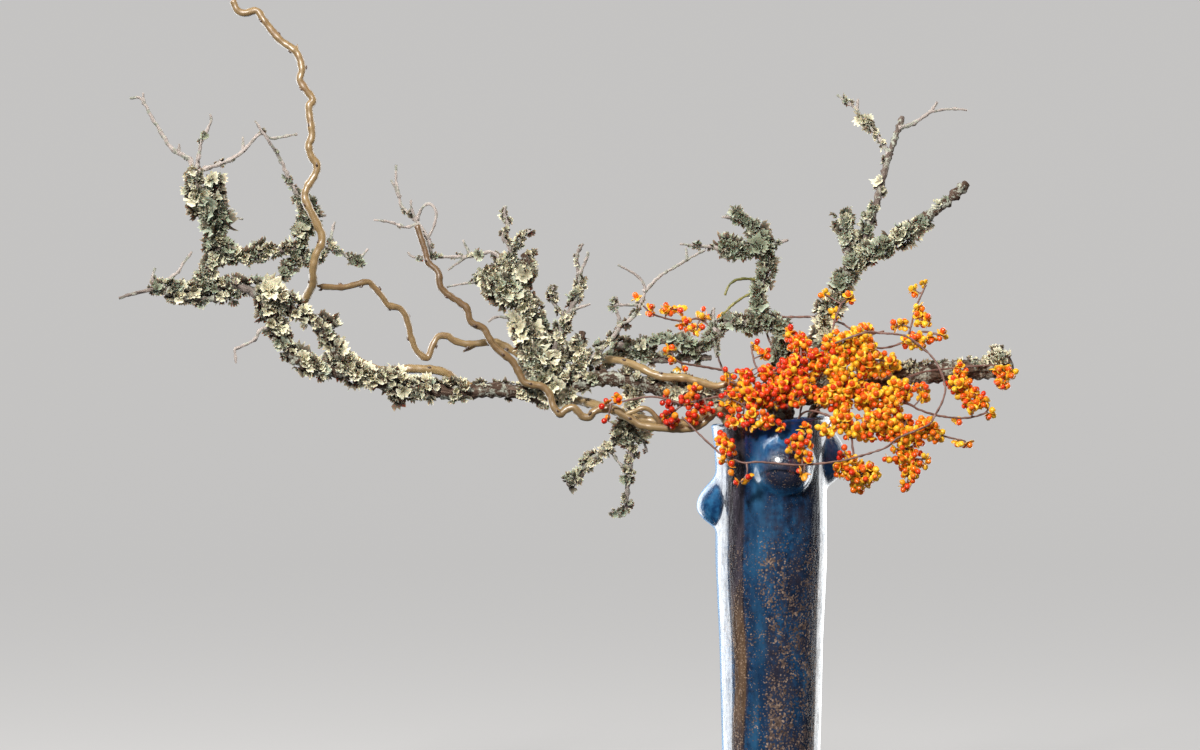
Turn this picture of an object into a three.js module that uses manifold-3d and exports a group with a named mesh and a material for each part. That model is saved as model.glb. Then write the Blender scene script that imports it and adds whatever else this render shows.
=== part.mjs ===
// An ikebana arrangement: three lichen-covered branches, three stems of peeled contorted willow
// and seven bittersweet vines, standing in water in a tall glazed vase.
// Millimetres, +Z up, +X to the right, +Y away from the viewer. The origin is the centre of the foot.

import * as THREE from "three";
import { mergeVertices } from "three/addons/utils/BufferGeometryUtils.js";
import Module from "manifold-3d";

const wasm = await Module();
wasm.setup();

// Driving dimensions of the vase. The wall is given as heights and outer radii, from foot to rim.
const WALL_PROFILE = [
  [0, 47],
  [110, 49.3],
  [220, 52],
  [300, 56],
  [390, 55.5],
  [420, 57.5],
  [440, 60.5],
];
const VASE_HEIGHT = 440;
const WALL = 6;
const FLOOR = 12;
const RIM_DROP = 9;
const VASE_SIDES = 28;
const KNOB_REACH = 19;
const KNOB_SPREAD = 19;
const KNOBS = [
  { turn: 180, height: 355 },
  { turn: 282, height: 383 },
  { turn: 4, height: 399 },
  { turn: 88, height: 340 },
];

// Water and the wooden bar wedged in the neck.
const WATER_LEVEL = 380;
const BAR_BOTTOM = 398;
const BAR_SIZE = 11;

// The paths below are drawn as they look to an eye in front. In depth, the long arm sweeps
// forward towards its far end, and what stands high over the mouth leans back.
const EYE_X = -171;
const EYE_Z = 485;
const EYE_DISTANCE = 3500;
const SWEEP_START = -150;
const SWEEP_LENGTH = 500;
const SWEEP_FORWARD = 60;
const LEAN_START = 520;
const LEAN_SLOPE = 0.25;

// Lichen lobes, berries and the room between pieces.
const GAP = 0.3;
const LOBE_REACH = 11;
const LOBE_THICKNESS = 1.5;
const ARIL_RADIUS = 3.4;
const HUSK_RADIUS = 5;
const STALK_RADIUS = 0.8;
const VINE_RADIUS = 1.7;
const STALK_SHORTEST = 6.5;
const STALK_LONGEST = 15;
const SHORTEST_EDGE = 0.2;
const BARK_SWING = 0.2;

// Seeded random numbers, so that every run makes the same object.
function seeded(seed) {
  let state = seed;
  return () => {
    state = (state + 0x6d2b79f5) | 0;
    let mixed = Math.imul(state ^ (state >>> 15), 1 | state);
    mixed = (mixed + Math.imul(mixed ^ (mixed >>> 7), 61 | mixed)) ^ mixed;
    return ((mixed ^ (mixed >>> 14)) >>> 0) / 4294967296;
  };
}

// Geometry to solid and back.
function solidOf(geometry) {
  const bare = geometry.clone();
  bare.deleteAttribute("normal");
  bare.deleteAttribute("uv");
  const merged = mergeVertices(bare, 1e-4);
  const corners = [];
  const index = merged.index.array;
  for (let i = 0; i < index.length; i += 3) {
    const [a, b, c] = [index[i], index[i + 1], index[i + 2]];
    if (a !== b && b !== c && c !== a) corners.push(a, b, c);
  }
  return new wasm.Manifold(
    new wasm.Mesh({
      numProp: 3,
      vertProperties: new Float32Array(merged.attributes.position.array),
      triVerts: new Uint32Array(corners),
    }),
  );
}

function geometryOf(solid) {
  const mesh = solid.getMesh();
  const geometry = new THREE.BufferGeometry();
  geometry.setAttribute("position", new THREE.BufferAttribute(mesh.vertProperties, 3));
  geometry.setIndex(new THREE.BufferAttribute(mesh.triVerts, 1));
  geometry.computeVertexNormals();
  return geometry;
}

function geometryFrom(points, faces) {
  const geometry = new THREE.BufferGeometry().setFromPoints(points);
  geometry.setIndex(faces.flat());
  return geometry;
}

// Joins the pieces of one node. Sealed hollows are filled and loose scraps dropped,
// because only the largest body is kept. Edges too short for a file are closed up.
function fuse(solids) {
  const joined = solids.reduce((whole, piece) => whole.add(piece)).simplify(SHORTEST_EDGE);
  return joined.decompose().reduce((most, body) => (body.volume() > most.volume() ? body : most));
}

// Points along a path that is listed by hand, and their places in depth.
const vector = (point) => new THREE.Vector3(...point);

function swept([x, y, z]) {
  const far = Math.max(SWEEP_START - x, 0) / SWEEP_LENGTH;
  const lean = LEAN_SLOPE * Math.max(z - LEAN_START, 0) * THREE.MathUtils.smoothstep(x, -250, -50);
  const shift = lean - SWEEP_FORWARD * far ** 2;
  const scale = 1 + shift / EYE_DISTANCE;
  return [EYE_X + (x - EYE_X) * scale, y + shift, EYE_Z + (z - EYE_Z) * scale];
}

const sweptLimbs = (limbs) => limbs.map((limb) => ({ ...limb, points: limb.points.map(swept) }));

function frames(path) {
  const tangents = path.map((point, i) => {
    const before = path[Math.max(i - 1, 0)];
    const after = path[Math.min(i + 1, path.length - 1)];
    const into = point.clone().sub(before).normalize();
    const out = after.clone().sub(point).normalize();
    return into.add(out).normalize();
  });
  const start = Math.abs(tangents[0].z) > 0.8 ? new THREE.Vector3(1, 0, 0) : new THREE.Vector3(0, 0, 1);
  let side = start.sub(tangents[0].clone().multiplyScalar(start.dot(tangents[0]))).normalize();
  return tangents.map((tangent) => {
    side = side.clone().sub(tangent.clone().multiplyScalar(side.dot(tangent))).normalize();
    return { tangent, side, up: tangent.clone().cross(side) };
  });
}

function taper(path, start, end) {
  const lengths = [0];
  path.slice(1).forEach((point, i) => lengths.push(lengths[i] + point.distanceTo(path[i])));
  const whole = lengths.at(-1);
  return lengths.map((length) => start + ((end - start) * length) / whole);
}

// A closed tube of few sides through the points. Rough bark moves each corner in or out by up to
// the given share of the radius, but stays even below the mouth, where the wood stands in the water.
const steady = () => 0.5;

function tube(points, start, end, sides, { rough = 0, random = steady, extra = 0 } = {}) {
  const path = points.map(vector);
  const radii = taper(path, start, end);
  const corners = [];
  frames(path).forEach(({ side, up }, i) => {
    for (let k = 0; k < sides; k += 1) {
      const turn = (2 * Math.PI * k) / sides;
      const swing = path[i].z > VASE_HEIGHT ? rough * (2 * random() - 1) : 0;
      const radius = radii[i] * (1 + swing) + extra;
      const spoke = side.clone().multiplyScalar(Math.cos(turn) * radius);
      corners.push(path[i].clone().add(spoke).addScaledVector(up, Math.sin(turn) * radius));
    }
  });
  const faces = [];
  for (let i = 0; i + 1 < path.length; i += 1) {
    for (let k = 0; k < sides; k += 1) {
      const a = i * sides + k;
      const b = i * sides + ((k + 1) % sides);
      faces.push([a, b, b + sides], [a, b + sides, a + sides]);
    }
  }
  const last = (path.length - 1) * sides;
  for (let k = 1; k + 1 < sides; k += 1) {
    faces.push([0, k + 1, k], [last, last + k, last + k + 1]);
  }
  return geometryFrom(corners, faces);
}

// What is already taken: every stem, lobe and berry, as a line from a to b with a radius at each end.
const taken = [];

function reserve(owner, points, start, end) {
  const path = points.map(vector);
  const radii = taper(path, start, end);
  for (let i = 0; i + 1 < path.length; i += 1) {
    taken.push({ owner, line: new THREE.Line3(path[i], path[i + 1]), radii: [radii[i], radii[i + 1]] });
  }
}

function isClear(point, radius, ignored, room) {
  const nearest = new THREE.Vector3();
  return taken.every(({ owner, line, radii }) => {
    if (ignored(owner)) return true;
    const along = line.closestPointToPointParameter(point, true);
    line.at(along, nearest);
    const needed = radii[0] + (radii[1] - radii[0]) * along + radius + room;
    return nearest.distanceToSquared(point) > needed * needed;
  });
}

// The vase's wall. Its outside is pushed out by the knobs, and its rim drops towards the left.
function profileRadius(height) {
  const above = WALL_PROFILE.findIndex(([z]) => z >= height);
  if (above <= 0) return WALL_PROFILE.at(above)[1];
  const [z0, r0] = WALL_PROFILE[above - 1];
  const [z1, r1] = WALL_PROFILE[above];
  return r0 + ((r1 - r0) * (height - z0)) / (z1 - z0);
}

function knobPush(angle, height) {
  const pushes = KNOBS.map((knob) => {
    const apart = THREE.MathUtils.degToRad(knob.turn) - angle;
    const across = Math.atan2(Math.sin(apart), Math.cos(apart)) * profileRadius(knob.height);
    const distance = Math.hypot(across, height - knob.height) / KNOB_SPREAD;
    return KNOB_REACH * Math.exp(-(distance ** 2.6));
  });
  return Math.max(...pushes);
}

function clearOfVase(point, radius) {
  if (point.z - radius > VASE_HEIGHT + RIM_DROP) return true;
  const angle = Math.atan2(point.y, point.x);
  const wall = profileRadius(point.z) + knobPush(angle, Math.min(point.z, VASE_HEIGHT));
  return Math.hypot(point.x, point.y) - radius > wall + 1.5;
}

function vaseSolid() {
  const heights = [0, 100, 200, 280, 310, 324, 338, 352, 365, 378, 391, 404, 418, 436];
  const outside = heights.map((z) => new THREE.Vector2(profileRadius(z), z));
  const insideHeights = [430, 390, 300, 220, 110, 30];
  const inside = insideHeights.map((z) => new THREE.Vector2(profileRadius(z) - WALL, z));
  const lip = [
    new THREE.Vector2(profileRadius(VASE_HEIGHT) - WALL * 0.3, VASE_HEIGHT),
    new THREE.Vector2(profileRadius(VASE_HEIGHT) - WALL * 0.75, VASE_HEIGHT - 1),
  ];
  const corner = [new THREE.Vector2(38, FLOOR), new THREE.Vector2(0, FLOOR)];
  const profile = [new THREE.Vector2(0, 0), ...outside, ...lip, ...inside, ...corner];
  const shape = new THREE.LatheGeometry(profile, VASE_SIDES);
  const place = shape.attributes.position;
  for (let i = 0; i < place.count; i += 1) {
    const ring = i % profile.length;
    const z = place.getY(i);
    const angle = Math.atan2(-place.getZ(i), place.getX(i));
    const onOutside = ring > 0 && ring <= outside.length;
    const radius = Math.hypot(place.getX(i), place.getZ(i));
    const pushed = onOutside ? radius + knobPush(angle, z) : radius;
    const lean = (THREE.MathUtils.smoothstep(z, 380, 440) * RIM_DROP) / 2;
    const x = Math.cos(angle) * pushed;
    place.setXYZ(i, x, Math.sin(angle) * pushed, z + (lean * x) / profileRadius(VASE_HEIGHT));
  }
  return solidOf(shape);
}

// The stems that stand in the vase need plain holes in the water.
function waterSolid(stems) {
  const heights = [30, 110, 220, 300, 340, WATER_LEVEL];
  const side = heights.map((z) => new THREE.Vector2(profileRadius(z) - WALL - 2 * GAP, z));
  const profile = [
    new THREE.Vector2(0, FLOOR + GAP),
    new THREE.Vector2(38 - 2 * GAP, FLOOR + GAP),
    ...side,
    new THREE.Vector2(0, WATER_LEVEL),
  ];
  const body = solidOf(new THREE.LatheGeometry(profile, VASE_SIDES).rotateX(Math.PI / 2));
  const holes = stems.map(({ points, radii, sides }) =>
    solidOf(tube(points, radii[0], radii[1], sides, { extra: GAP })),
  );
  return fuse([holes.reduce((left, hole) => left.subtract(hole), body)]);
}

function barSolid() {
  const half = profileRadius(BAR_BOTTOM) - WALL - 2 * GAP;
  const bar = new THREE.BoxGeometry(2 * Math.sqrt(half ** 2 - (BAR_SIZE / 2) ** 2), BAR_SIZE, BAR_SIZE);
  return solidOf(bar.translate(0, 0, BAR_BOTTOM + BAR_SIZE / 2));
}

// One lobe of lichen: a thin fan, bent along its middle and waved at its edge, whose root is
// sunk in the wood. These are the root and the points along the middle of its edge.
function lobePoints(root, out, across, reach, random) {
  const normal = out.clone().cross(across).normalize();
  const spread = 1.1 + 0.5 * random();
  const edge = [];
  for (let i = 0; i < 3; i += 1) {
    const turn = (i / 2 - 0.5) * spread;
    const far = reach * (0.8 + 0.4 * random());
    const lift = (i % 2 ? 0.2 : -0.12) * reach;
    const point = root.clone().addScaledVector(out, Math.cos(turn) * far);
    edge.push(point.addScaledVector(across, Math.sin(turn) * far).addScaledVector(normal, lift));
  }
  return { root, edge, normal };
}

// Both faces of a lobe are split into the same triangles, so they never cross.
function lobe({ root, edge, normal }) {
  const upper = edge.map((point) => point.clone().addScaledVector(normal, LOBE_THICKNESS / 2));
  const under = edge.map((point) => point.clone().addScaledVector(normal, -LOBE_THICKNESS / 2));
  const size = edge.length;
  const faces = [[0, 1 + size, 1], [0, size, 2 * size]];
  for (let i = 1; i < size; i += 1) {
    faces.push([0, i, i + 1], [0, size + i + 1, size + i]);
    faces.push([i, size + i, size + i + 1], [i, size + i + 1, i + 1]);
  }
  return geometryFrom([root, ...upper, ...under], faces);
}

// A lobe is kept where it stays clear of every other piece, and of the lobes beside it.
function lobeIsFree(owner, { root, edge }) {
  const own = (other) => other.startsWith(owner);
  const notLobe = (other) => other !== `${owner} lobe`;
  const between = edge.slice(1).map((point, i) => point.clone().lerp(edge[i], 0.5));
  const rim = [...edge, ...between];
  const inner = [0.2, 0.4, 0.6, 0.8].flatMap((back) => rim.map((point) => point.clone().lerp(root, back)));
  const besideLobes = rim.every((point) => isClear(point, LOBE_THICKNESS, notLobe, GAP));
  const whole = [...rim, ...inner];
  const besideOthers = whole.every((point) => isClear(point, LOBE_THICKNESS, own, GAP));
  return besideLobes && besideOthers && whole.every((point) => clearOfVase(point, LOBE_THICKNESS));
}

// Lobes all along one limb, at random turns round it and leaning along it.
function lobesOn(owner, limb, random) {
  const path = limb.points.map(vector);
  const radii = taper(path, limb.radii[0], limb.radii[1]);
  const made = [];
  for (let i = 0; i < limb.lichen; i += 1) {
    for (let attempt = 0; attempt < 6; attempt += 1) {
      const along = ((i + random()) / limb.lichen) * (path.length - 1.001);
      const step = Math.floor(along);
      const centre = path[step].clone().lerp(path[step + 1], along - step);
      const tangent = path[step + 1].clone().sub(path[step]).normalize();
      const radius = radii[step] + (radii[step + 1] - radii[step]) * (along - step);
      const { side, up } = frames([path[step], path[step + 1]])[0];
      const turn = 2 * Math.PI * random();
      const out = side.clone().multiplyScalar(Math.cos(turn)).addScaledVector(up, Math.sin(turn));
      out.addScaledVector(tangent, 0.9 * (random() - 0.5)).normalize();
      const twist = Math.PI * random();
      const round = tangent.clone().cross(out).normalize();
      const across = tangent.clone().multiplyScalar(Math.cos(twist)).addScaledVector(round, Math.sin(twist));
      across.addScaledVector(out, -across.dot(out)).normalize();
      const root = centre.clone().addScaledVector(out, radius * 0.5);
      const reach = radius * 0.5 + LOBE_REACH * (0.7 + 0.6 * random());
      const shape = lobePoints(root, out, across, reach, random);
      if (!lobeIsFree(owner, shape)) continue;
      shape.edge.forEach((point) => {
        const line = new THREE.Line3(root, point);
        taken.push({ owner: `${owner} lobe`, line, radii: [LOBE_THICKNESS, LOBE_THICKNESS] });
      });
      made.push(solidOf(lobe(shape)));
      break;
    }
  }
  return made;
}

// The long branch: its trunk stands in the vase, the stub points right and the arm runs left.
const LONG_BRANCH = [
  { sides: 7, radii: [12, 11.5], points: [[3, 6, 24], [8, 13, 200], [12, 19, 380], [12, 18, 412],
    [12, 11, 440], [14, 1, 460]] },
  { sides: 6, radii: [11, 11.5], lichen: 4, points: [[0, 0, 461], [30, -1, 464], [60, 0, 470], [110, 4, 481],
    [150, 6, 486], [189, 7, 489], [229, 8, 493], [239, 8, 495]] },
  { sides: 6, radii: [10.5, 8.5], lichen: 14, points: [[18, 1, 461], [-20, 0, 461], [-56, 0, 463],
    [-91, -1, 468], [-116, -2, 473], [-136, -3, 478], [-171, -4, 482], [-196, -4, 475], [-226, -4, 465],
    [-251, -5, 468], [-281, -6, 470], [-311, -8, 467], [-341, -9, 470], [-371, -10, 472], [-386, -11, 477],
    [-411, -13, 485], [-436, -14, 490]] },
  { sides: 5, radii: [7, 6.5], lichen: 4, points: [[-425, -14, 488], [-456, -15, 490], [-469, -16, 497],
    [-481, -16, 508], [-491, -17, 525], [-501, -18, 540], [-508, -18, 568]] },
  { sides: 5, radii: [6.5, 6], lichen: 4, points: [[-418, -13, 486], [-436, -12, 505], [-443, -12, 525],
    [-453, -13, 535], [-471, -15, 545], [-486, -17, 555], [-503, -18, 566]] },
  { sides: 5, radii: [7, 1.5], lichen: 7, points: [[-492, -17, 560], [-521, -19, 570], [-541, -20, 575],
    [-566, -20, 570], [-586, -21, 572], [-611, -22, 571], [-631, -23, 568], [-652, -24, 562]] },
  { sides: 5, radii: [4.5, 5], lichen: 2, points: [[-604, -22, 570], [-590, -21, 563], [-565, -20, 561],
    [-546, -20, 564], [-536, -20, 571]] },
  { sides: 3, radii: [2.2, 1.4], points: [[-499, -18, 540], [-503, -24, 532], [-510, -26, 531],
    [-517, -28, 520], [-531, -30, 513], [-536, -31, 510], [-535, -32, 497]] },
  { sides: 3, radii: [2.2, 1.3], points: [[-611, -22, 571], [-618, -24, 580], [-616, -25, 592]] },
  { sides: 3, radii: [2.2, 1.3], points: [[-609, -22, 571], [-606, -20, 578], [-593, -17, 588],
    [-587, -15, 598], [-579, -13, 608]] },
];

// The column at the far left, with three bare twigs at its head.
const LEFT_COLUMN = [
  { sides: 5, radii: [7, 8], lichen: 6, points: [[-556, -22, 630], [-558, -22, 655], [-560, -21, 682]] },
  { sides: 5, radii: [5.5, 4.5], lichen: 10, points: [[-566, -20, 570], [-566, -21, 582], [-559, -22, 598],
    [-553, -22, 615], [-556, -22, 630], [-568, -22, 650], [-576, -21, 670], [-578, -20, 690]] },
  { sides: 4, radii: [3, 1.4], points: [[-577, -21, 684], [-581, -19, 700], [-593, -17, 707],
    [-601, -15, 713], [-610, -13, 728], [-619, -12, 742], [-630, -10, 761], [-641, -9, 762]] },
  { sides: 3, radii: [1.6, 1.2], points: [[-627, -10, 756], [-628, -12, 767]] },
  { sides: 3, radii: [1.6, 1.2], points: [[-592, -17, 706], [-592, -20, 716]] },
  { sides: 3, radii: [2.6, 1.3], points: [[-577, -21, 680], [-572, -24, 705], [-570, -26, 718],
    [-566, -27, 725], [-560, -29, 739], [-561, -30, 746]] },
  { sides: 3, radii: [2.6, 1.3], lichen: 1, points: [[-576, -21, 686], [-561, -20, 693], [-541, -18, 700],
    [-528, -17, 709], [-511, -15, 726], [-501, -14, 722], [-488, -13, 723], [-474, -12, 726]] },
  { sides: 3, radii: [1.6, 1.2], points: [[-528, -17, 708], [-528, -14, 723]] },
  { sides: 3, radii: [2.2, 1.2], points: [[-555, -22, 630], [-539, -24, 641], [-528, -25, 641]] },
  { sides: 5, radii: [4.5, 4], lichen: 3, points: [[-555, -22, 612], [-546, -21, 605], [-521, -19, 602],
    [-509, -17, 608], [-486, -14, 610], [-470, -6, 614]] },
  { sides: 6, radii: [5, 3.5], lichen: 6, points: [[-471, -5, 598], [-471, -5, 625], [-465, -4, 645],
    [-468, -4, 662]] },
  { sides: 5, radii: [3.6, 4.2], lichen: 1, points: [[-472, -6, 602], [-486, -13, 588], [-494, -16, 580],
    [-502, -18, 567]] },
  { sides: 3, radii: [2.8, 1.3], points: [[-468, -4, 655], [-472, -5, 664], [-480, -8, 675],
    [-486, -12, 690], [-493, -17, 705], [-503, -26, 720], [-509, -27, 729], [-516, -28, 739]] },
  { sides: 4, radii: [3.5, 1.8], lichen: 3, points: [[-471, -5, 604], [-453, -4, 602], [-441, -3, 612],
    [-426, -2, 605], [-416, -1, 598], [-406, 0, 595]] },
  { sides: 3, radii: [1.7, 1.2], points: [[-414, -1, 598], [-403, 2, 611]] },
  { sides: 3, radii: [1.9, 1.3], points: [[-441, -3, 610], [-439, 1, 628], [-436, 2, 638]] },
  { sides: 3, radii: [1.6, 1.2], points: [[-464, -4, 641], [-445, -2, 645]] },
];

// The thick tuft in the middle, with its spires and the bare twigs that run left from it.
const TUFT = [
  { sides: 5, radii: [7, 9], lichen: 6, points: [[-250, -4, 556], [-272, -7, 572], [-284, -8, 592]] },
  { sides: 6, radii: [7.5, 5], lichen: 12, points: [[-221, -4, 467], [-231, -6, 490], [-241, -6, 505],
    [-246, -5, 525], [-249, -4, 540], [-246, -4, 555], [-256, -5, 575], [-266, -6, 600]] },
  { sides: 5, radii: [4, 1.8], lichen: 3, points: [[-264, -6, 592], [-261, -7, 612], [-268, -8, 623],
    [-263, -8, 635], [-267, -7, 645], [-265, -6, 654]] },
  { sides: 3, radii: [2.6, 1.5], lichen: 1, points: [[-262, -6, 595], [-253, -4, 614], [-249, -3, 623],
    [-241, -2, 629]] },
  { sides: 6, radii: [6, 1.8], lichen: 8, points: [[-204, -4, 474], [-211, -2, 485], [-216, 0, 510],
    [-201, 2, 550], [-191, 4, 570], [-193, 4, 590], [-194, 4, 605], [-188, 5, 616]] },
  { sides: 3, radii: [2.4, 1.4], points: [[-192, 4, 586], [-184, 0, 602], [-183, -1, 608]] },
  { sides: 4, radii: [3.2, 1.5], lichen: 1, points: [[-204, 2, 540], [-216, -5, 555], [-220, -7, 565],
    [-218, -8, 573]] },
  { sides: 5, radii: [5, 4], lichen: 3, points: [[-216, 0, 503], [-223, 4, 512], [-236, 8, 545],
    [-249, 2, 572]] },
  { sides: 3, radii: [1.9, 1.3], points: [[-201, 2, 549], [-181, -2, 556]] },
  { sides: 4, radii: [3, 1.3], lichen: 1, points: [[-264, -6, 598], [-281, -7, 608], [-296, -8, 604],
    [-326, -8, 603], [-341, -8, 602], [-358, -9, 603], [-363, -9, 608]] },
  { sides: 3, radii: [2.5, 1.3], points: [[-340, -8, 601], [-343, -7, 620], [-354, -5, 638],
    [-369, -2, 653], [-372, -1, 665], [-375, 0, 680], [-375, 1, 695]] },
  { sides: 3, radii: [1.7, 1.2], points: [[-371, -1, 663], [-380, -5, 680]] },
  { sides: 3, radii: [1.9, 1.2], points: [[-353, -5, 636], [-366, -8, 633], [-381, -10, 638],
    [-397, -11, 640]] },
  { sides: 3, radii: [1.7, 1.2], points: [[-354, -5, 637], [-359, -9, 650], [-360, -10, 660]] },
  { sides: 3, radii: [1.6, 1.6], points: [[-354, -5, 640], [-349, -8, 652], [-341, -10, 656],
    [-335, -11, 648], [-337, -10, 634], [-344, -7, 620]] },
  { sides: 3, radii: [1.7, 1.2], points: [[-301, -8, 604], [-308, -10, 620]] },
  { sides: 3, radii: [2.2, 1.2], points: [[-260, -5, 584], [-291, -9, 579], [-309, -11, 576],
    [-324, -12, 573]] },
  { sides: 5, radii: [6.5, 5.5], lichen: 2, points: [[-256, -5, 574], [-246, -5, 584], [-243, -5, 596],
    [-247, -5, 606]] },
  { sides: 3, radii: [1.8, 1.2], points: [[-304, -8, 604], [-323, -4, 590]] },
  { sides: 3, radii: [1.8, 1.2], points: [[-249, -4, 541], [-274, -9, 543], [-283, -11, 538]] },
];

// The small twig right of the tuft, and the twig that hangs below the branch.
const SIDE_TWIGS = [
  { sides: 5, radii: [4.2, 1.3], lichen: 3, points: [[-199, -4, 476], [-191, -6, 495], [-176, -8, 505],
    [-156, -10, 525], [-151, -10, 535], [-141, -10, 540], [-131, -9, 555], [-126, -8, 572],
    [-135, -9, 585], [-153, -11, 595]] },
  { sides: 5, radii: [6.5, 4.5], lichen: 2, points: [[-193, -5, 492], [-193, -4, 510], [-188, -4, 528]] },
  { sides: 3, radii: [2, 1.3], points: [[-127, -8, 568], [-111, -4, 584], [-96, -1, 593], [-81, 2, 602],
    [-66, 4, 610]] },
  { sides: 3, radii: [1.5, 1.2], points: [[-84, 1, 600], [-85, 0, 612]] },
  { sides: 3, radii: [2, 1.8], points: [[-151, -10, 534], [-153, -13, 545], [-158, -15, 557],
    [-154, -16, 563]] },
  { sides: 3, radii: [1.5, 1.5], points: [[-157, -15, 555], [-131, -9, 555]] },
  { sides: 6, radii: [5.5, 4.5], lichen: 2, points: [[-136, -3, 474], [-140, -2, 435], [-141, -2, 418]] },
  { sides: 5, radii: [4.5, 4.8], lichen: 3, points: [[-139, -2, 434], [-151, -4, 425], [-166, -6, 410],
    [-181, -8, 397], [-193, -9, 383], [-203, -10, 375]] },
  { sides: 5, radii: [4.5, 2.4], lichen: 3, points: [[-141, -2, 424], [-139, -1, 410], [-141, 0, 395],
    [-143, 1, 380], [-145, 2, 352], [-149, 2, 346], [-159, 1, 348]] },
  { sides: 3, radii: [2.8, 1.8], lichen: 1, points: [[-140, -2, 439], [-131, 2, 430], [-126, 5, 415],
    [-124, 6, 408]] },
  { sides: 3, radii: [1.9, 1.4], points: [[-161, -5, 414], [-155, -7, 401], [-148, -9, 393]] },
];

// The arch branch stands behind the long one.
const ARCH_BRANCH = [
  { sides: 6, radii: [7.5, 6], lichen: 4, crustFrom: 2, points: [[-10, 26, 170], [-8, 34, 380],
    [-8, 35, 412], [-2, 34, 440], [6, 32, 470], [14, 30, 515], [9, 28, 530], [-6, 26, 540],
    [-16, 26, 537]] },
  { sides: 6, radii: [6, 3.5], lichen: 10, points: [[-12, 26, 538], [-14, 26, 555], [-9, 28, 575],
    [-6, 29, 595], [-6, 30, 615], [-21, 28, 635], [-31, 27, 642], [-37, 26, 651]] },
  { sides: 3, radii: [2.4, 1.4], points: [[-33, 27, 643], [-49, 24, 643]] },
  { sides: 5, radii: [3.8, 1.5], lichen: 3, points: [[-6, 29, 610], [-16, 27, 610], [-31, 25, 608],
    [-46, 24, 610], [-59, 23, 613], [-71, 23, 614], [-91, 22, 616]] },
  { sides: 5, radii: [6.5, 5], lichen: 2, points: [[-12, 27, 611], [-32, 25, 611], [-50, 24, 612]] },
  { sides: 4, radii: [3, 1.5], lichen: 1, points: [[-7, 30, 613], [4, 31, 616], [17, 33, 620]] },
  { sides: 6, radii: [6, 3], lichen: 7, points: [[-7, 26, 539], [-21, 26, 535], [-36, 26, 538],
    [-51, 25, 530], [-59, 24, 520], [-71, 23, 512], [-91, 22, 515], [-106, 22, 520], [-121, 22, 515],
    [-136, 22, 510], [-151, 22, 515], [-159, 22, 508], [-163, 20, 492]] },
  { sides: 5, radii: [5.5, 3.5], lichen: 3, points: [[-147, 23, 514], [-128, 26, 504], [-104, 28, 500],
    [-80, 29, 503], [-60, 30, 502]] },
  { sides: 3, radii: [2, 1.4], points: [[-129, 22, 512], [-131, 20, 526]] },
  { sides: 3, radii: [2.6, 1.4], points: [[-55, 25, 527], [-58, 25, 535], [-57, 26, 552]] },
  { sides: 3, radii: [2.8, 2], points: [[-57, 24, 522], [-54, 20, 503]] },
  { sides: 3, radii: [1.5, 1.4], points: [[-9, 28, 578], [-21, 24, 581], [-31, 22, 581], [-41, 21, 576],
    [-46, 21, 565]] },
  { sides: 3, radii: [1.5, 1.4], points: [[-11, 27, 566], [-23, 22, 565], [-36, 20, 557], [-49, 19, 545]] },
];

// The fork branch on the right: a broken sloping limb, and a thin upright that forks at its head.
const FORK_BRANCH = [
  { sides: 6, radii: [7.5, 3.5], lichen: 11, crustFrom: 4, points: [[30, 14, 140], [36, 18, 380],
    [36, 18, 412], [40, 21, 440], [48, 24, 465], [52, 26, 490], [54, 27, 525], [55, 27, 540], [59, 27, 555],
    [67, 28, 570], [74, 28, 585], [84, 28, 595], [97, 27, 602], [114, 25, 613], [129, 24, 620],
    [144, 22, 632], [159, 20, 645], [174, 18, 657], [196, 15, 676]] },
  { sides: 5, radii: [4.6, 1.6], lichen: 3, points: [[80, 28, 592], [91, 30, 610], [95, 32, 625],
    [99, 33, 638], [105, 34, 655], [109, 34, 670], [114, 35, 690], [118, 35, 705], [126, 36, 727],
    [131, 37, 743]] },
  { sides: 3, radii: [2, 1.3], points: [[128, 36, 732], [141, 34, 736], [151, 33, 742], [161, 31, 750],
    [166, 30, 758]] },
  { sides: 3, radii: [1.6, 1.2], points: [[158, 31, 748], [179, 29, 751], [196, 27, 750]] },
  { sides: 3, radii: [2.5, 1.3], lichen: 1, points: [[118, 35, 705], [111, 36, 718], [104, 37, 727],
    [89, 39, 745], [84, 40, 752], [75, 41, 758], [66, 42, 765]] },
  { sides: 3, radii: [1.6, 1.2], points: [[86, 39, 748], [87, 37, 761]] },
  { sides: 5, radii: [4.4, 6], lichen: 6, points: [[77, 28, 588], [76, 30, 613], [75, 31, 630],
    [73, 31, 646]] },
];

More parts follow.
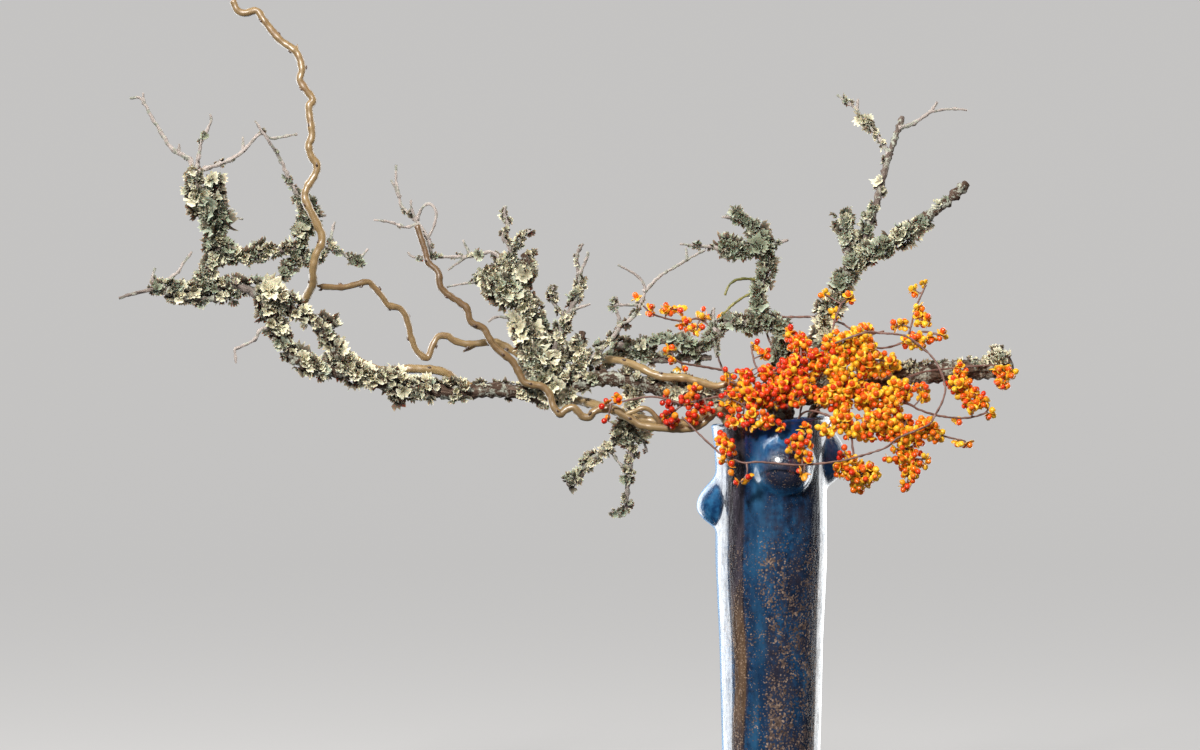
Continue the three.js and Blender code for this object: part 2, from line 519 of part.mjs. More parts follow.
// Three stems of peeled willow. Each leaves the mouth over the left side of the rim.
const TALL_WILLOW = [
  { sides: 5, radii: [4.6, 3], points: [[-30, -18, 200], [-38, -19, 380], [-40, -19, 415], [-43, -19, 434],
    [-52, -20, 447], [-62, -21, 446], [-74, -23, 437], [-90, -25, 436], [-113, -25, 438], [-141, -22, 443],
    [-155, -14, 449], [-168, -4, 453], [-179, 4, 456], [-190, 12, 459], [-201, 17, 461], [-225, 20, 463],
    [-260, 20, 468], [-306, 18, 475], [-321, 13, 484], [-331, 10, 489], [-351, 8, 491], [-369, 9, 491],
    [-380, 12, 489], [-398, 16, 492], [-422, 18, 505], [-446, 17, 528], [-462, 10, 546], [-467, 2, 557],
    [-463, -10, 566], [-458, -20, 577], [-458, -27, 590], [-455, -30, 605], [-450, -31, 615],
    [-449, -31, 625], [-455, -31, 638], [-461, -31, 650], [-466, -30, 662], [-464, -29, 672],
    [-456, -28, 685], [-454, -28, 695], [-460, -28, 704], [-462, -28, 715], [-459, -28, 725],
    [-462, -26, 752], [-458, -25, 760], [-465, -24, 770], [-471, -23, 780], [-469, -22, 792],
    [-475, -20, 808], [-491, -16, 820], [-506, -13, 838], [-514, -11, 849], [-525, -10, 847],
    [-533, -9, 849], [-538, -8, 859]] },
  { sides: 3, radii: [1.6, 1.2], points: [[-473, -20, 806], [-474, -20, 816]] },
];

const MIDDLE_WILLOW = [
  { sides: 5, radii: [4, 3], points: [[-24, -30, 240], [-29, -31, 380], [-33, -30, 415], [-37, -29, 436],
    [-44, -31, 449], [-54, -33, 449], [-72, -35, 434], [-91, -36, 431], [-126, -36, 434], [-137, -35, 439],
    [-154, -34, 449], [-166, -33, 451], [-176, -32, 449], [-182, -31, 443], [-189, -31, 444],
    [-197, -31, 452], [-204, -31, 451], [-211, -31, 446], [-218, -30, 454], [-221, -29, 465],
    [-228, -29, 473], [-237, -29, 475], [-247, -29, 478], [-252, -29, 487], [-258, -29, 498],
    [-266, -30, 505], [-276, -30, 513], [-282, -31, 522], [-288, -31, 532], [-300, -32, 538],
    [-304, -32, 551], [-311, -32, 557], [-325, -32, 567], [-331, -32, 575], [-333, -31, 588],
    [-343, -29, 598], [-346, -28, 610], [-354, -26, 634]] },
  { sides: 3, radii: [2.4, 2.4], points: [[-147, -35, 445], [-136, -37, 449], [-128, -38, 452],
    [-119, -37, 448], [-108, -36, 432]] },
];

const LOW_WILLOW = [
  { sides: 5, radii: [4.2, 2], points: [[-14, -18, 240], [-20, -20, 380], [-20, -20, 430], [-22, -19, 460],
    [-31, -18, 474], [-44, -17, 476], [-56, -17, 474], [-71, -17, 478], [-86, -17, 482], [-106, -17, 483],
    [-118, -15, 486], [-132, -8, 493], [-150, 4, 499], [-168, 14, 501], [-190, 20, 502], [-246, 26, 504],
    [-256, 26, 508], [-266, 26, 514], [-276, 25, 518], [-303, 23, 516], [-316, 22, 519], [-324, 21, 524],
    [-333, 19, 523], [-339, 17, 513], [-344, 16, 502], [-354, 15, 509], [-360, 14, 523], [-362, 13, 533],
    [-366, 12, 545], [-372, 11, 552], [-383, 9, 555], [-388, 8, 562], [-398, 6, 574], [-405, 4, 578],
    [-426, 0, 573], [-441, -4, 573], [-454, -8, 574]] },
  { sides: 3, radii: [1.8, 1.3], points: [[-290, 24, 517], [-308, 26, 508]] },
];

// Bittersweet vines. A vine has stems, and clusters given as a centre, a radius and a number of
// berries. Each vine's first stem starts in the water.
const VINES = {
  left: {
    stems: [
      [[-10, -30, 300], [-12, -34, 400], [-16, -35, 440], [-24, -37, 458], [-45, -40, 464], [-70, -42, 460],
        [-88, -42, 455], [-100, -43, 446]],
      [[-88, -42, 455], [-105, -44, 461], [-125, -45, 463], [-160, -45, 456]],
    ],
    clusters: [[-104, -42, 460, 8, 1], [-101, -43, 441, 12, 2], [-81, -42, 461, 10, 2], [-71, -43, 453, 8, 1],
      [-79, -44, 442, 6, 1], [-56, -45, 447, 5, 1], [-166, -44, 456, 4, 1], [-153, -45, 461, 4, 0],
      [-163, -45, 441, 4, 1]],
  },
  front: {
    stems: [
      [[12, 42, 300], [12, 44, 400], [12, 46, 440], [10, 47, 465], [8, 45, 490], [0, 42, 515],
        [-5, 38, 533], [4, 38, 542], [24, 39, 543], [44, 38, 543], [60, 37, 540], [72, 26, 536],
        [80, 8, 531], [90, -18, 528], [109, -33, 527], [134, -37, 524], [154, -41, 510], [166, -45, 496],
        [174, -50, 475], [172, -56, 460], [164, -63, 445], [157, -68, 435], [127, -76, 422],
        [114, -79, 412], [89, -81, 404], [69, -82, 399], [29, -84, 395], [-11, -83, 398], [-26, -79, 397],
        [-36, -75, 400], [-49, -69, 405], [-59, -62, 414], [-71, -56, 425], [-89, -50, 443]],
      [[109, -33, 527], [98, -36, 528], [86, -38, 525], [64, -38, 517]],
    ],
    clusters: [[-49, -66, 420, 8, 1], [-42, -72, 413, 10, 2], [-50, -72, 400, 4, 1], [-41, -78, 392, 4, 1],
      [-24, -82, 386, 4, 1], [-30, -80, 378, 4, 0], [32, -84, 403, 8, 1], [29, -80, 416, 12, 2],
      [33, -86, 389, 4, 1], [74, -78, 405, 8, 1]],
  },
  crown: {
    stems: [
      [[0, -24, 300], [2, -27, 400], [4, -27, 440], [2, -28, 460], [-6, -29, 480], [-16, -24, 496],
        [-20, -14, 514]],
      [[2, -28, 460], [14, -34, 478], [26, -34, 492], [30, -26, 510], [24, -14, 524]],
      [[3, -27, 450], [-14, -40, 460], [-30, -47, 456]],
    ],
    clusters: [[-41, -30, 485, 8, 1], [-26, -32, 474, 14, 2], [-16, -42, 462, 17, 2], [-28, -48, 444, 14, 2],
      [0, -46, 455, 17, 2], [10, -40, 472, 14, 2], [4, -54, 441, 10, 1], [-1, -33, 487, 10, 1],
      [-16, -16, 515, 5, 1], [-6, -22, 505, 6, 0], [19, -8, 526, 8, 1], [29, -16, 514, 14, 2],
      [24, -34, 490, 17, 2], [42, -34, 497, 13, 1]],
  },
  high_right: {
    stems: [
      [[22, -20, 300], [24, -22, 400], [28, -22, 440], [34, -23, 462], [50, -21, 485], [66, -16, 502],
        [88, -12, 514], [112, -10, 512], [132, -10, 518], [139, -10, 530], [144, -11, 550], [149, -12, 562],
        [155, -12, 575]],
      [[66, -16, 502], [61, -8, 522], [64, 0, 540], [70, 4, 556]],
      [[88, -12, 514], [100, -6, 525], [113, -3, 529]],
      [[134, -10, 521], [152, -13, 528], [169, -14, 525]],
    ],
    clusters: [[69, -22, 515, 17, 2], [89, -12, 522, 14, 2], [94, -26, 500, 17, 2], [119, -20, 497, 12, 1],
      [67, -34, 490, 14, 1], [95, -5, 532, 6, 1], [129, -8, 535, 8, 1], [154, -13, 541, 12, 1],
      [144, -13, 519, 12, 1], [170, -14, 525, 6, 1], [147, -12, 550, 6, 1], [155, -12, 577, 3, 1],
      [145, -10, 569, 4, 1], [54, 6, 566, 4, 1], [78, 6, 562, 5, 0], [65, 4, 546, 4, 1]],
  },
  middle_right: {
    stems: [
      [[30, -25, 300], [33, -28, 400], [38, -31, 440], [50, -36, 453], [70, -40, 461], [95, -42, 464],
        [122, -34, 476], [149, -20, 487], [174, -14, 491], [204, -12, 494], [229, -12, 494], [236, -13, 486]],
      [[95, -42, 464], [134, -40, 457], [149, -38, 450], [169, -34, 444], [194, -30, 442], [214, -28, 447],
        [218, -27, 456]],
    ],
    clusters: [[74, -44, 467, 17, 2], [57, -48, 461, 13, 1], [99, -48, 462, 17, 2], [119, -47, 456, 16, 2],
      [129, -40, 470, 12, 1], [154, -34, 470, 8, 1], [189, -16, 489, 8, 1], [189, -24, 475, 12, 1],
      [199, -26, 464, 12, 2], [214, -28, 457, 8, 1], [200, -30, 453, 6, 0], [220, -28, 447, 5, 1],
      [187, -30, 441, 4, 1], [234, -14, 488, 10, 1], [231, -16, 477, 6, 1]],
  },
  low_right: {
    stems: [
      [[20, -34, 300], [22, -38, 400], [27, -43, 440], [40, -50, 449], [58, -59, 444], [80, -63, 434],
        [105, -62, 428], [130, -58, 427], [149, -54, 430], [172, -50, 424], [194, -47, 419]],
      [[80, -63, 434], [81, -65, 418], [84, -66, 400], [90, -66, 382]],
      [[130, -58, 427], [136, -58, 408], [140, -57, 392], [136, -57, 377]],
    ],
    clusters: [[72, -64, 437, 13, 1], [92, -65, 431, 14, 2], [109, -60, 440, 14, 2], [119, -61, 429, 12, 1],
      [134, -56, 436, 10, 1], [140, -58, 424, 14, 2], [154, -54, 431, 12, 1], [165, -52, 425, 8, 1],
      [34, -62, 431, 6, 1], [55, -66, 429, 9, 1], [79, -70, 391, 14, 2], [94, -70, 385, 14, 2],
      [88, -68, 374, 8, 1], [133, -60, 406, 12, 1], [140, -58, 391, 12, 2], [151, -55, 401, 8, 0],
      [134, -57, 375, 6, 1], [119, -60, 401, 4, 0], [188, -48, 415, 5, 1], [196, -47, 418, 3, 1]],
  },
  back_left: {
    stems: [
      [[-22, 18, 300], [-28, 22, 400], [-32, 24, 440], [-40, 28, 470], [-52, 36, 500], [-58, 41, 528],
        [-72, 38, 541], [-89, 36, 539], [-116, 32, 545], [-134, 27, 560]],
      [[-48, 34, 490], [-72, 25, 494], [-92, 10, 498], [-100, 6, 508]],
    ],
    clusters: [[-134, 26, 561, 5, 1], [-121, 30, 549, 6, 1], [-104, 34, 549, 6, 1], [-93, 36, 551, 5, 1],
      [-86, 36, 534, 7, 1], [-74, 38, 531, 6, 0], [-67, 40, 544, 7, 1], [-48, 42, 543, 5, 1],
      [-101, 6, 511, 5, 1], [-99, 8, 500, 4, 0], [-90, 11, 491, 4, 1]],
  },
};

// One berry on its stalk: a round aril that stands out of three split husks. The stalk's root
// lies inside the stem.
function berry(root, centre) {
  const axis = centre.clone().sub(root).normalize();
  const { side, up } = frames([root, centre])[0];
  const length = centre.distanceTo(root);
  const ring = (along, count, radius, turned) =>
    Array.from({ length: count }, (_, k) => {
      const turn = (2 * Math.PI * k) / count + turned;
      const spoke = side.clone().multiplyScalar(Math.cos(turn)).addScaledVector(up, Math.sin(turn));
      return root.clone().addScaledVector(axis, along).addScaledVector(spoke, radius);
    });
  const third = Math.PI / 3;
  const rings = [
    ring(0, 3, STALK_RADIUS, 0),
    ring(length - ARIL_RADIUS, 3, STALK_RADIUS, 0),
    ring(length - 1, 3, HUSK_RADIUS, 0),
    ring(length + 0.6, 3, ARIL_RADIUS * 1.15, third),
    ring(length + 2.8, 3, ARIL_RADIUS * 0.6, 2 * third),
  ];
  const faces = [[0, 2, 1], [12, 13, 14]];
  for (let level = 0; level < 4; level += 1) {
    for (let k = 0; k < 3; k += 1) {
      const here = 3 * level;
      const next = (k + 1) % 3;
      faces.push([here + k, here + next, here + 3 + k], [here + next, here + 3 + next, here + 3 + k]);
    }
  }
  return solidOf(geometryFrom(rings.flat(), faces));
}

// A stalk is tested against what is taken at points along it.
function stalkIsClear(owner, from, to, radius) {
  const own = (other) => other.startsWith(owner);
  const steps = Math.ceil(from.distanceTo(to) / 2);
  const points = Array.from({ length: steps }, (_, i) => from.clone().lerp(to, (i + 1) / steps));
  return points.every((point) => isClear(point, radius, own, 2 * GAP) && clearOfVase(point, radius));
}

function nearestOnStems(stems, centre) {
  const found = { distance: Infinity };
  stems.forEach((stem) => {
    for (let i = 0; i + 1 < stem.length; i += 1) {
      const line = new THREE.Line3(vector(stem[i]), vector(stem[i + 1]));
      const point = line.closestPointToPoint(centre, true, new THREE.Vector3());
      const distance = point.distanceTo(centre);
      if (distance < found.distance) Object.assign(found, { distance, point });
    }
  });
  return found.point;
}

// The berries of one vine. A cluster too far from the stem for its stalks gets a side stem, and
// each berry takes the first random place in its cluster that is free.
function berriesOn(owner, { stems, clusters }, random) {
  const made = [];
  const growing = [...stems];
  clusters.forEach(([x, y, z, spread, count]) => {
    const centre = new THREE.Vector3(x, y, z);
    const foot = nearestOnStems(growing, centre);
    const tooFar = foot.distanceTo(centre) > STALK_LONGEST - STALK_SHORTEST;
    if (tooFar && stalkIsClear(owner, foot, centre, VINE_RADIUS)) {
      const sideStem = [foot.toArray(), [x, y, z]];
      made.push(solidOf(tube(sideStem, VINE_RADIUS, VINE_RADIUS, 3)));
      reserve(owner, sideStem, VINE_RADIUS, VINE_RADIUS);
      growing.push(sideStem);
    }
    for (let i = 0; i < count; i += 1) {
      const found = freePlace(owner, centre, spread, growing, random);
      if (!found) continue;
      made.push(berry(found.root, found.place));
      const line = new THREE.Line3(found.place, found.place.clone());
      taken.push({ owner: `${owner} berry`, line, radii: [HUSK_RADIUS, HUSK_RADIUS] });
    }
  });
  return made;
}

function freePlace(owner, centre, spread, growing, random) {
  const own = (other) => other.startsWith(owner);
  const notBerry = (other) => other !== `${owner} berry`;
  for (let attempt = 0; attempt < 80; attempt += 1) {
    const push = new THREE.Vector3(random() - 0.5, random() - 0.5, random() - 0.5).normalize();
    const place = centre.clone().addScaledVector(push, Math.max(spread - 2, 4) * (0.6 + 0.5 * random()));
    const root = nearestOnStems(growing, place);
    const stalk = place.distanceTo(root);
    if (stalk < STALK_SHORTEST || stalk > STALK_LONGEST) continue;
    if (!isClear(place, HUSK_RADIUS, own, GAP) || !isClear(place, ARIL_RADIUS, notBerry, 0)) continue;
    if (!clearOfVase(place, HUSK_RADIUS) || !stalkIsClear(owner, root, place, STALK_RADIUS)) continue;
    return { place, root };
  }
  return null;
}

// Materials.
function matt(color, roughness) {
  return new THREE.MeshStandardMaterial({ color, roughness, metalness: 0 });
}

const lichenMaterial = matt("#9aa38c", 0.95);
const willowMaterial = matt("#b08a52", 0.45);
const vineMaterial = matt("#e2601f", 0.35);
const vaseMaterial = matt("#143a74", 0.15);
const waterMaterial = matt("#9fb4bd", 0.05);
const barMaterial = matt("#8a6a48", 0.8);

// The arrangement.
const arrangement = new THREE.Group();

function addNode(name, solid, material) {
  const mesh = new THREE.Mesh(geometryOf(solid), material);
  mesh.name = name;
  arrangement.add(mesh);
}

const BRANCHES = {
  lichen_branch_long: sweptLimbs([...LONG_BRANCH, ...LEFT_COLUMN, ...TUFT, ...SIDE_TWIGS]),
  lichen_branch_arch: sweptLimbs(ARCH_BRANCH),
  lichen_branch_fork: sweptLimbs(FORK_BRANCH),
};
const WILLOWS = {
  willow_tall: sweptLimbs(TALL_WILLOW),
  willow_middle: sweptLimbs(MIDDLE_WILLOW),
  willow_low: sweptLimbs(LOW_WILLOW),
};
const sweptVines = Object.entries(VINES).map(([name, { stems, clusters }]) => ({
  name: `vine_${name}`,
  stems: stems.map((points) => points.map(swept)),
  clusters: clusters.map(([x, y, z, ...rest]) => [...swept([x, y, z]), ...rest]),
}));

Object.entries({ ...BRANCHES, ...WILLOWS }).forEach(([name, limbs]) =>
  limbs.forEach(({ points, radii }) => reserve(name, points, radii[0], radii[1])),
);
sweptVines.forEach(({ name, stems }) =>
  stems.forEach((points) => reserve(name, points, VINE_RADIUS, VINE_RADIUS)),
);

addNode("vase", vaseSolid(), vaseMaterial);

const barkRandom = seeded(11);
Object.entries(BRANCHES).forEach(([name, limbs]) => {
  const wood = limbs.map(({ points, radii, sides }) => {
    const rough = sides > 4 ? BARK_SWING : 0;
    return solidOf(tube(points, radii[0], radii[1], sides, { rough, random: barkRandom }));
  });
  const lobes = limbs.filter((limb) => limb.lichen).flatMap((limb) => {
    const crusted = { ...limb, points: limb.points.slice(limb.crustFrom ?? 0) };
    return lobesOn(name, crusted, barkRandom);
  });
  addNode(name, fuse([...wood, ...lobes]), lichenMaterial);
});

Object.entries(WILLOWS).forEach(([name, limbs]) => {
  const wood = limbs.map(({ points, radii, sides }) => solidOf(tube(points, radii[0], radii[1], sides)));
  addNode(name, fuse(wood), willowMaterial);
});

const berryRandom = seeded(23);
sweptVines.forEach((vine) => {
  const stems = vine.stems.map((points) => solidOf(tube(points, VINE_RADIUS, VINE_RADIUS, 3)));
  const berries = berriesOn(vine.name, vine, berryRandom);
  addNode(vine.name, fuse([...stems, ...berries]), vineMaterial);
});

const standing = [
  ...Object.values({ ...BRANCHES, ...WILLOWS }).map((limbs) => limbs[0]),
  ...sweptVines.map(({ stems }) => ({ points: stems[0], radii: [VINE_RADIUS, VINE_RADIUS], sides: 3 })),
];
addNode("water", waterSolid(standing), waterMaterial);
addNode("cross_bar", barSolid(), barMaterial);

export default arrangement;
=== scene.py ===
import math

import bpy
import numpy as np
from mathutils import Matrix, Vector, noise


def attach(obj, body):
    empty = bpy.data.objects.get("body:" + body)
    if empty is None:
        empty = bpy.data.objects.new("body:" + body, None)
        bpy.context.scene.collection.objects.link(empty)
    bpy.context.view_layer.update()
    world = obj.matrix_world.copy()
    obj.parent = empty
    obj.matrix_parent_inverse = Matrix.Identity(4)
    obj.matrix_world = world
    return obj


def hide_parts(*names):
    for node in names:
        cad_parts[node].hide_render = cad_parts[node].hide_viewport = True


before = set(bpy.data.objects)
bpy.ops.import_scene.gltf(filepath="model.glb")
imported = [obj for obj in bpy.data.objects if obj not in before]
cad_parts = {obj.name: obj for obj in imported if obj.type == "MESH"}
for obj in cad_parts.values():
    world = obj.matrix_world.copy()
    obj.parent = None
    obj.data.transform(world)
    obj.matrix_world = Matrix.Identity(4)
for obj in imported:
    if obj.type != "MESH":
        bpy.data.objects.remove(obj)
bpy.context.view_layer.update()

# Camera: level and a long way in front, so that the long branch isn't drawn out at its far end.
# It stands a little left of the vase, and the frame cuts off the vase's foot and the willow's tip.
MM = 0.001
EYE = np.array([-171, -3500, 485.0])
camera_data = bpy.data.cameras.new("camera")
camera_data.sensor_width = 36
camera_data.lens = 105
camera = bpy.data.objects.new("camera", camera_data)
camera.location = EYE * MM
camera.rotation_euler = (math.radians(90), 0, 0)
bpy.context.collection.objects.link(camera)
bpy.context.scene.camera = camera


# Vase: a tall, heavy cylinder of stoneware, beaten and scraped by hand, with round knobs pushed out
# of its neck. A thick glossy cobalt glaze has broken to bronze over it, and its foot is wiped bare.
VASE_HEIGHT = 440
NECK = 300
WALL = 6
FLOOR = 12
# Heights and outer radii of the wall, of the rounded edge of its foot, and of the hollow above its floor.
WALL_PROFILE = [(0, 47), (110, 49.3), (220, 52), (NECK, 56), (390, 55.5), (420, 57.5), (VASE_HEIGHT, 60.5)]
FOOT_EDGE = [(0, 43.5), (0.5, 45.6), (1.8, 46.6)]
HOLLOW_EDGE = [(16, 41), (FLOOR, 36)]
CORNERS_EASED = 15
LIP_RISE = 3
# The rim dips to one side by this, and the dip starts at this height.
RIM_DROP = 9
DIP_FROM = 380
# Each knob's turn round the vase and its height, how far its border is across, above and below, how
# round it is, and how crisp its border is. Above its middle the border softens over a short way.
KNOBS = [
    (180, 354, 22, 27, 21, 0.95, 6), (281, 388, 29, 33, 21, 0.8, 12), (4, 399, 24, 27, 25, 0.8, 8),
    (88, 340, 23, 25, 22, 0.9, 7),
]
KNOB_REACH = 19
SOFT_BORDER = 4
SOFTENS_OVER = 20
# The beaten hollows: how many run round the vase in each wave, how deep they go, how far the wall is
# set in for them, and the height over which they fade in above the foot.
HAND_WAVES = (2, 3, 5, 7, 9, 12, 17, 23)
HAND_DEPTH = 0.45
SET_IN = 0.3
FADE_IN = 40
ROUND_THE_VASE = 190


class Finish:
    """A material under construction: a shader, and the nodes that feed it."""

    def __init__(self, name, **sockets):
        self.material = bpy.data.materials.new(name)
        self.material.use_nodes = True
        self.tree = self.material.node_tree
        self.shader = self.tree.nodes["Principled BSDF"]
        for socket, value in sockets.items():
            self.shader.inputs[socket.replace("_", " ")].default_value = value

    def node(self, kind, inputs=None, **settings):
        """A node with its settings, and each of its inputs linked or set."""
        made = self.tree.nodes.new(kind)
        for key, value in settings.items():
            setattr(made, key, value)
        for key, value in (inputs or {}).items():
            if isinstance(value, bpy.types.NodeSocket):
                self.tree.links.new(value, made.inputs[key])
            else:
                made.inputs[key].default_value = value
        return made

    def feed(self, socket, value):
        self.tree.links.new(value, self.shader.inputs[socket])

    def stretched(self, where, stretch):
        return self.node("ShaderNodeMapping", {"Vector": where, "Scale": stretch}).outputs["Vector"]

    def place(self, stretch=(1, 1, 1)):
        """The point on the piece, stretched along its axes."""
        return self.stretched(self.node("ShaderNodeTexCoord").outputs["Object"], stretch)

    def mark(self, name):
        """A number or vector that the mesh carries at each of its points."""
        return self.node("ShaderNodeAttribute", attribute_name=name)

    def cloud(self, where, scale, detail=3, rough=0.55):
        """Soft noise between 0 and 1."""
        inputs = {"Vector": where, "Scale": scale, "Detail": detail, "Roughness": rough}
        return self.node("ShaderNodeTexNoise", inputs).outputs["Fac"]

    def steps(self, value, stops):
        """Colours, or shades of grey, along a value."""
        ramp = self.node("ShaderNodeValToRGB", {"Fac": value})
        line = ramp.color_ramp.elements
        while len(line) < len(stops):
            line.new(1)
        for element, (at, colour) in zip(line, stops):
            element.position = at
            element.color = (*((colour,) * 3 if isinstance(colour, (int, float)) else colour), 1)
        return ramp.outputs["Color"]

    def mottled(self, where, scale, stops, detail=3, rough=0.55):
        """Colours, or shades of grey, in soft blotches."""
        return self.steps(self.cloud(where, scale, detail, rough), stops)

    def mix(self, amount, first, second, way="MIX"):
        """The first turned into the second by an amount, or the two multiplied."""
        made = self.node("ShaderNodeMix", data_type="RGBA", blend_type=way)
        for socket, value in ((made.inputs[0], amount), (made.inputs[6], first), (made.inputs[7], second)):
            if isinstance(value, bpy.types.NodeSocket):
                self.tree.links.new(value, socket)
            elif isinstance(value, tuple):
                socket.default_value = (*value, 1)
            else:
                socket.default_value = value
        return made.outputs[2]

    def reckon(self, operation, first, second=0.0):
        """One step of arithmetic."""
        return self.node("ShaderNodeMath", {0: first, 1: second}, operation=operation).outputs[0]

    def plus(self, first, second):
        return self.reckon("ADD", first, second)

    def minus(self, first, second):
        return self.reckon("SUBTRACT", first, second)

    def times(self, first, second):
        return self.reckon("MULTIPLY", first, second)

    def relief(self, height, depth, strength=1.0):
        """Fine bumps of the surface, with their depth in metres."""
        bump = self.node("ShaderNodeBump", {"Height": height, "Distance": depth, "Strength": strength})
        self.feed("Normal", bump.outputs["Normal"])


def mesh_object(name, points, faces, finish, marks=None, hard_from=None):
    """A smooth-shaded piece from points in millimetres and faces given by their corners. Each of its
    marks has a value for every point or for every face."""
    mesh = bpy.data.meshes.new(name)
    mesh.from_pydata((np.asarray(points) * MM).tolist(), [], faces)
    mesh.polygons.foreach_set("use_smooth", np.ones(len(mesh.polygons), bool))
    for label, values in (marks or {}).items():
        values = np.asarray(values, dtype=float)
        kind, key = ("FLOAT", "value") if values.ndim == 1 else ("FLOAT_VECTOR", "vector")
        where = "POINT" if len(values) == len(points) else "FACE"
        mesh.attributes.new(label, kind, where).data.foreach_set(key, values.ravel())
    if hard_from:
        mesh.set_sharp_from_angle(angle=math.radians(hard_from))
    mesh.materials.append(finish.material)
    piece = bpy.data.objects.new(name, mesh)
    bpy.context.collection.objects.link(piece)
    return piece


def ring_faces(rings, around):
    """Faces of four corners between rings of points, each ring with the same number of them."""
    faces = []
    for low in range(0, (rings - 1) * around, around):
        for k in range(around):
            after = (k + 1) % around
            faces.append((low + k, low + after, low + around + after, low + around + k))
    return faces


def closed_faces(rings, around):
    """The same, and both ends closed round the two points that follow the rings."""
    faces = ring_faces(rings, around)
    first, last = rings * around, (rings - 1) * around
    for k in range(around):
        after = (k + 1) % around
        faces.append((first, after, k))
        faces.append((first + 1, last + k, last + after))
    return faces


def wall_radius(heights):
    """The outer radius at each height, with the corners of the profile eased. The profile runs on
    past both ends, so that easing doesn't draw them in."""
    fine = np.arange(-60, VASE_HEIGHT + 61, 2.0)
    profile_heights, profile_radii = zip(*WALL_PROFILE)
    table = np.interp(fine, profile_heights, profile_radii)
    flare = (profile_radii[-1] - profile_radii[-2]) / (profile_heights[-1] - profile_heights[-2])
    table += np.where(fine > VASE_HEIGHT, (fine - VASE_HEIGHT) * flare, 0)
    window = np.hanning(CORNERS_EASED)
    eased = np.convolve(table, window / window.sum(), mode="same")
    return np.interp(heights, fine[10:-10], eased[10:-10])


def knob_push(turns, heights):
    """How far the knobs push the wall out. Each is a dome that runs out softly above."""
    pushes = []
    for turn, height, wide, above, beneath, rounded, crisp in KNOBS:
        apart = np.radians(turn) - turns
        across = np.arctan2(np.sin(apart), np.cos(apart)) * wall_radius(height)
        rise = heights - height
        inside = 1 - (across / wide) ** 2 - (rise / np.where(rise > 0, above, beneath)) ** 2
        firm = SOFT_BORDER + (crisp - SOFT_BORDER) * np.clip(0.5 - rise / SOFTENS_OVER, 0, 1)
        inside = np.minimum(np.logaddexp(0, firm * inside) / firm, 1)
        pushes.append(KNOB_REACH * inside ** rounded)
    return np.max(pushes, axis=0)


def beaten(turns, heights, seed):
    """Shallow hollows and ridges that run mostly up and down, as hand work leaves them."""
    random = np.random.default_rng(seed)
    total = np.zeros(np.broadcast(turns, heights).shape)
    for waves in HAND_WAVES:
        rise = random.uniform(0.008, 0.03) * random.choice([-1, 1]) * math.sqrt(waves / 5)
        wobble = 0.9 * np.sin(heights * random.uniform(0.01, 0.025) + random.uniform(0, 6))
        total += np.sin(waves * turns + heights * rise + wobble + random.uniform(0, 6)) / waves ** 0.75
    return HAND_DEPTH * total / 2.2


def vase_mesh():
    """Rings from the foot up the outside, over the lip and down the inside to the floor, and how
    much of a knob there is at each point."""
    turns = np.linspace(0, 2 * np.pi, ROUND_THE_VASE, endpoint=False)
    lip_foot = VASE_HEIGHT - LIP_RISE
    # Rings lie closer together on the neck, where the knobs are, and further apart inside.
    outer = np.concatenate([np.arange(4, NECK, 4.4), np.arange(NECK, lip_foot, 2.1)])
    inner = np.concatenate([np.arange(432, NECK, -6), np.arange(NECK, 24, -14)])
    middle = wall_radius(VASE_HEIGHT) - WALL / 2
    over_the_lip = np.linspace(0, np.pi, 9)
    lip = [(lip_foot + LIP_RISE * math.sin(a), middle + WALL / 2 * math.cos(a)) for a in over_the_lip]
    inside = [(z, wall_radius(z) - WALL) for z in inner] + HOLLOW_EDGE
    rings = [(np.full_like(turns, r), z) for z, r in FOOT_EDGE]
    bulge = [np.zeros_like(turns) for _ in FOOT_EDGE]
    for z in outer:
        hand = beaten(turns, z, 3) * min(1, z / FADE_IN)
        push = knob_push(turns, z)
        bulge.append(push / KNOB_REACH)
        rings.append((wall_radius(z) - SET_IN + push + hand, z))
    for z, r in lip + inside:
        hand = beaten(turns, z, 3 if r > middle else 8) if z > 20 else np.zeros_like(turns)
        rings.append((r - SET_IN + hand, z))
    points = []
    for radius, z in rings:
        x = radius * np.cos(turns)
        rise = np.clip((z - DIP_FROM) / (VASE_HEIGHT - DIP_FROM), 0, 1)
        drop = rise * rise * (3 - 2 * rise) * RIM_DROP / 2 * x / wall_radius(VASE_HEIGHT)
        points.append(np.stack([x, radius * np.sin(turns), z + drop], axis=1))
    points = np.concatenate(points + [np.array([[0, 0, 0], [0, 0, FLOOR]])])
    bulge = np.concatenate(bulge + [np.zeros(len(points) - sum(map(len, bulge)))])
    return points, closed_faces(len(rings), ROUND_THE_VASE), bulge


# The glaze's colours, as steps of the blotches that they come in.
COBALT = [
    (0.36, (0.006, 0.011, 0.025)), (0.45, (0.009, 0.028, 0.070)), (0.54, (0.013, 0.064, 0.155)),
    (0.66, (0.030, 0.135, 0.275)),
]
PLUM = (0.042, 0.034, 0.047)
NECK_BLUE = [(0.40, (0.003, 0.007, 0.026)), (0.56, (0.004, 0.033, 0.16))]
# On the knobs the glaze runs thinner and lighter blue, and it is lightened further as a painted reflection of
# a bright surround.
KNOB_BLUE_AND_REFLECTION = [(0.38, (0.006, 0.050, 0.15)), (0.62, (0.03, 0.18, 0.39))]
DARK_CROWN = [(0.42, (0.010, 0.014, 0.032)), (0.58, (0.055, 0.040, 0.045))]
# The next two colours are painted reflection: dark bands that stand in for the dark room reflected just
# inside each highlight.
LEFT_DARK_REFLECTION = [(0.40, (0.012, 0.014, 0.026)), (0.6, (0.058, 0.052, 0.074))]
RIGHT_DARK_REFLECTION = [(0.40, (0.004, 0.008, 0.022)), (0.6, (0.022, 0.034, 0.070))]
NAVY = [(0.40, (0.005, 0.010, 0.034)), (0.6, (0.007, 0.030, 0.10))]
AZURE = [(0.4, (0.008, 0.042, 0.11)), (0.6, (0.032, 0.145, 0.29))]
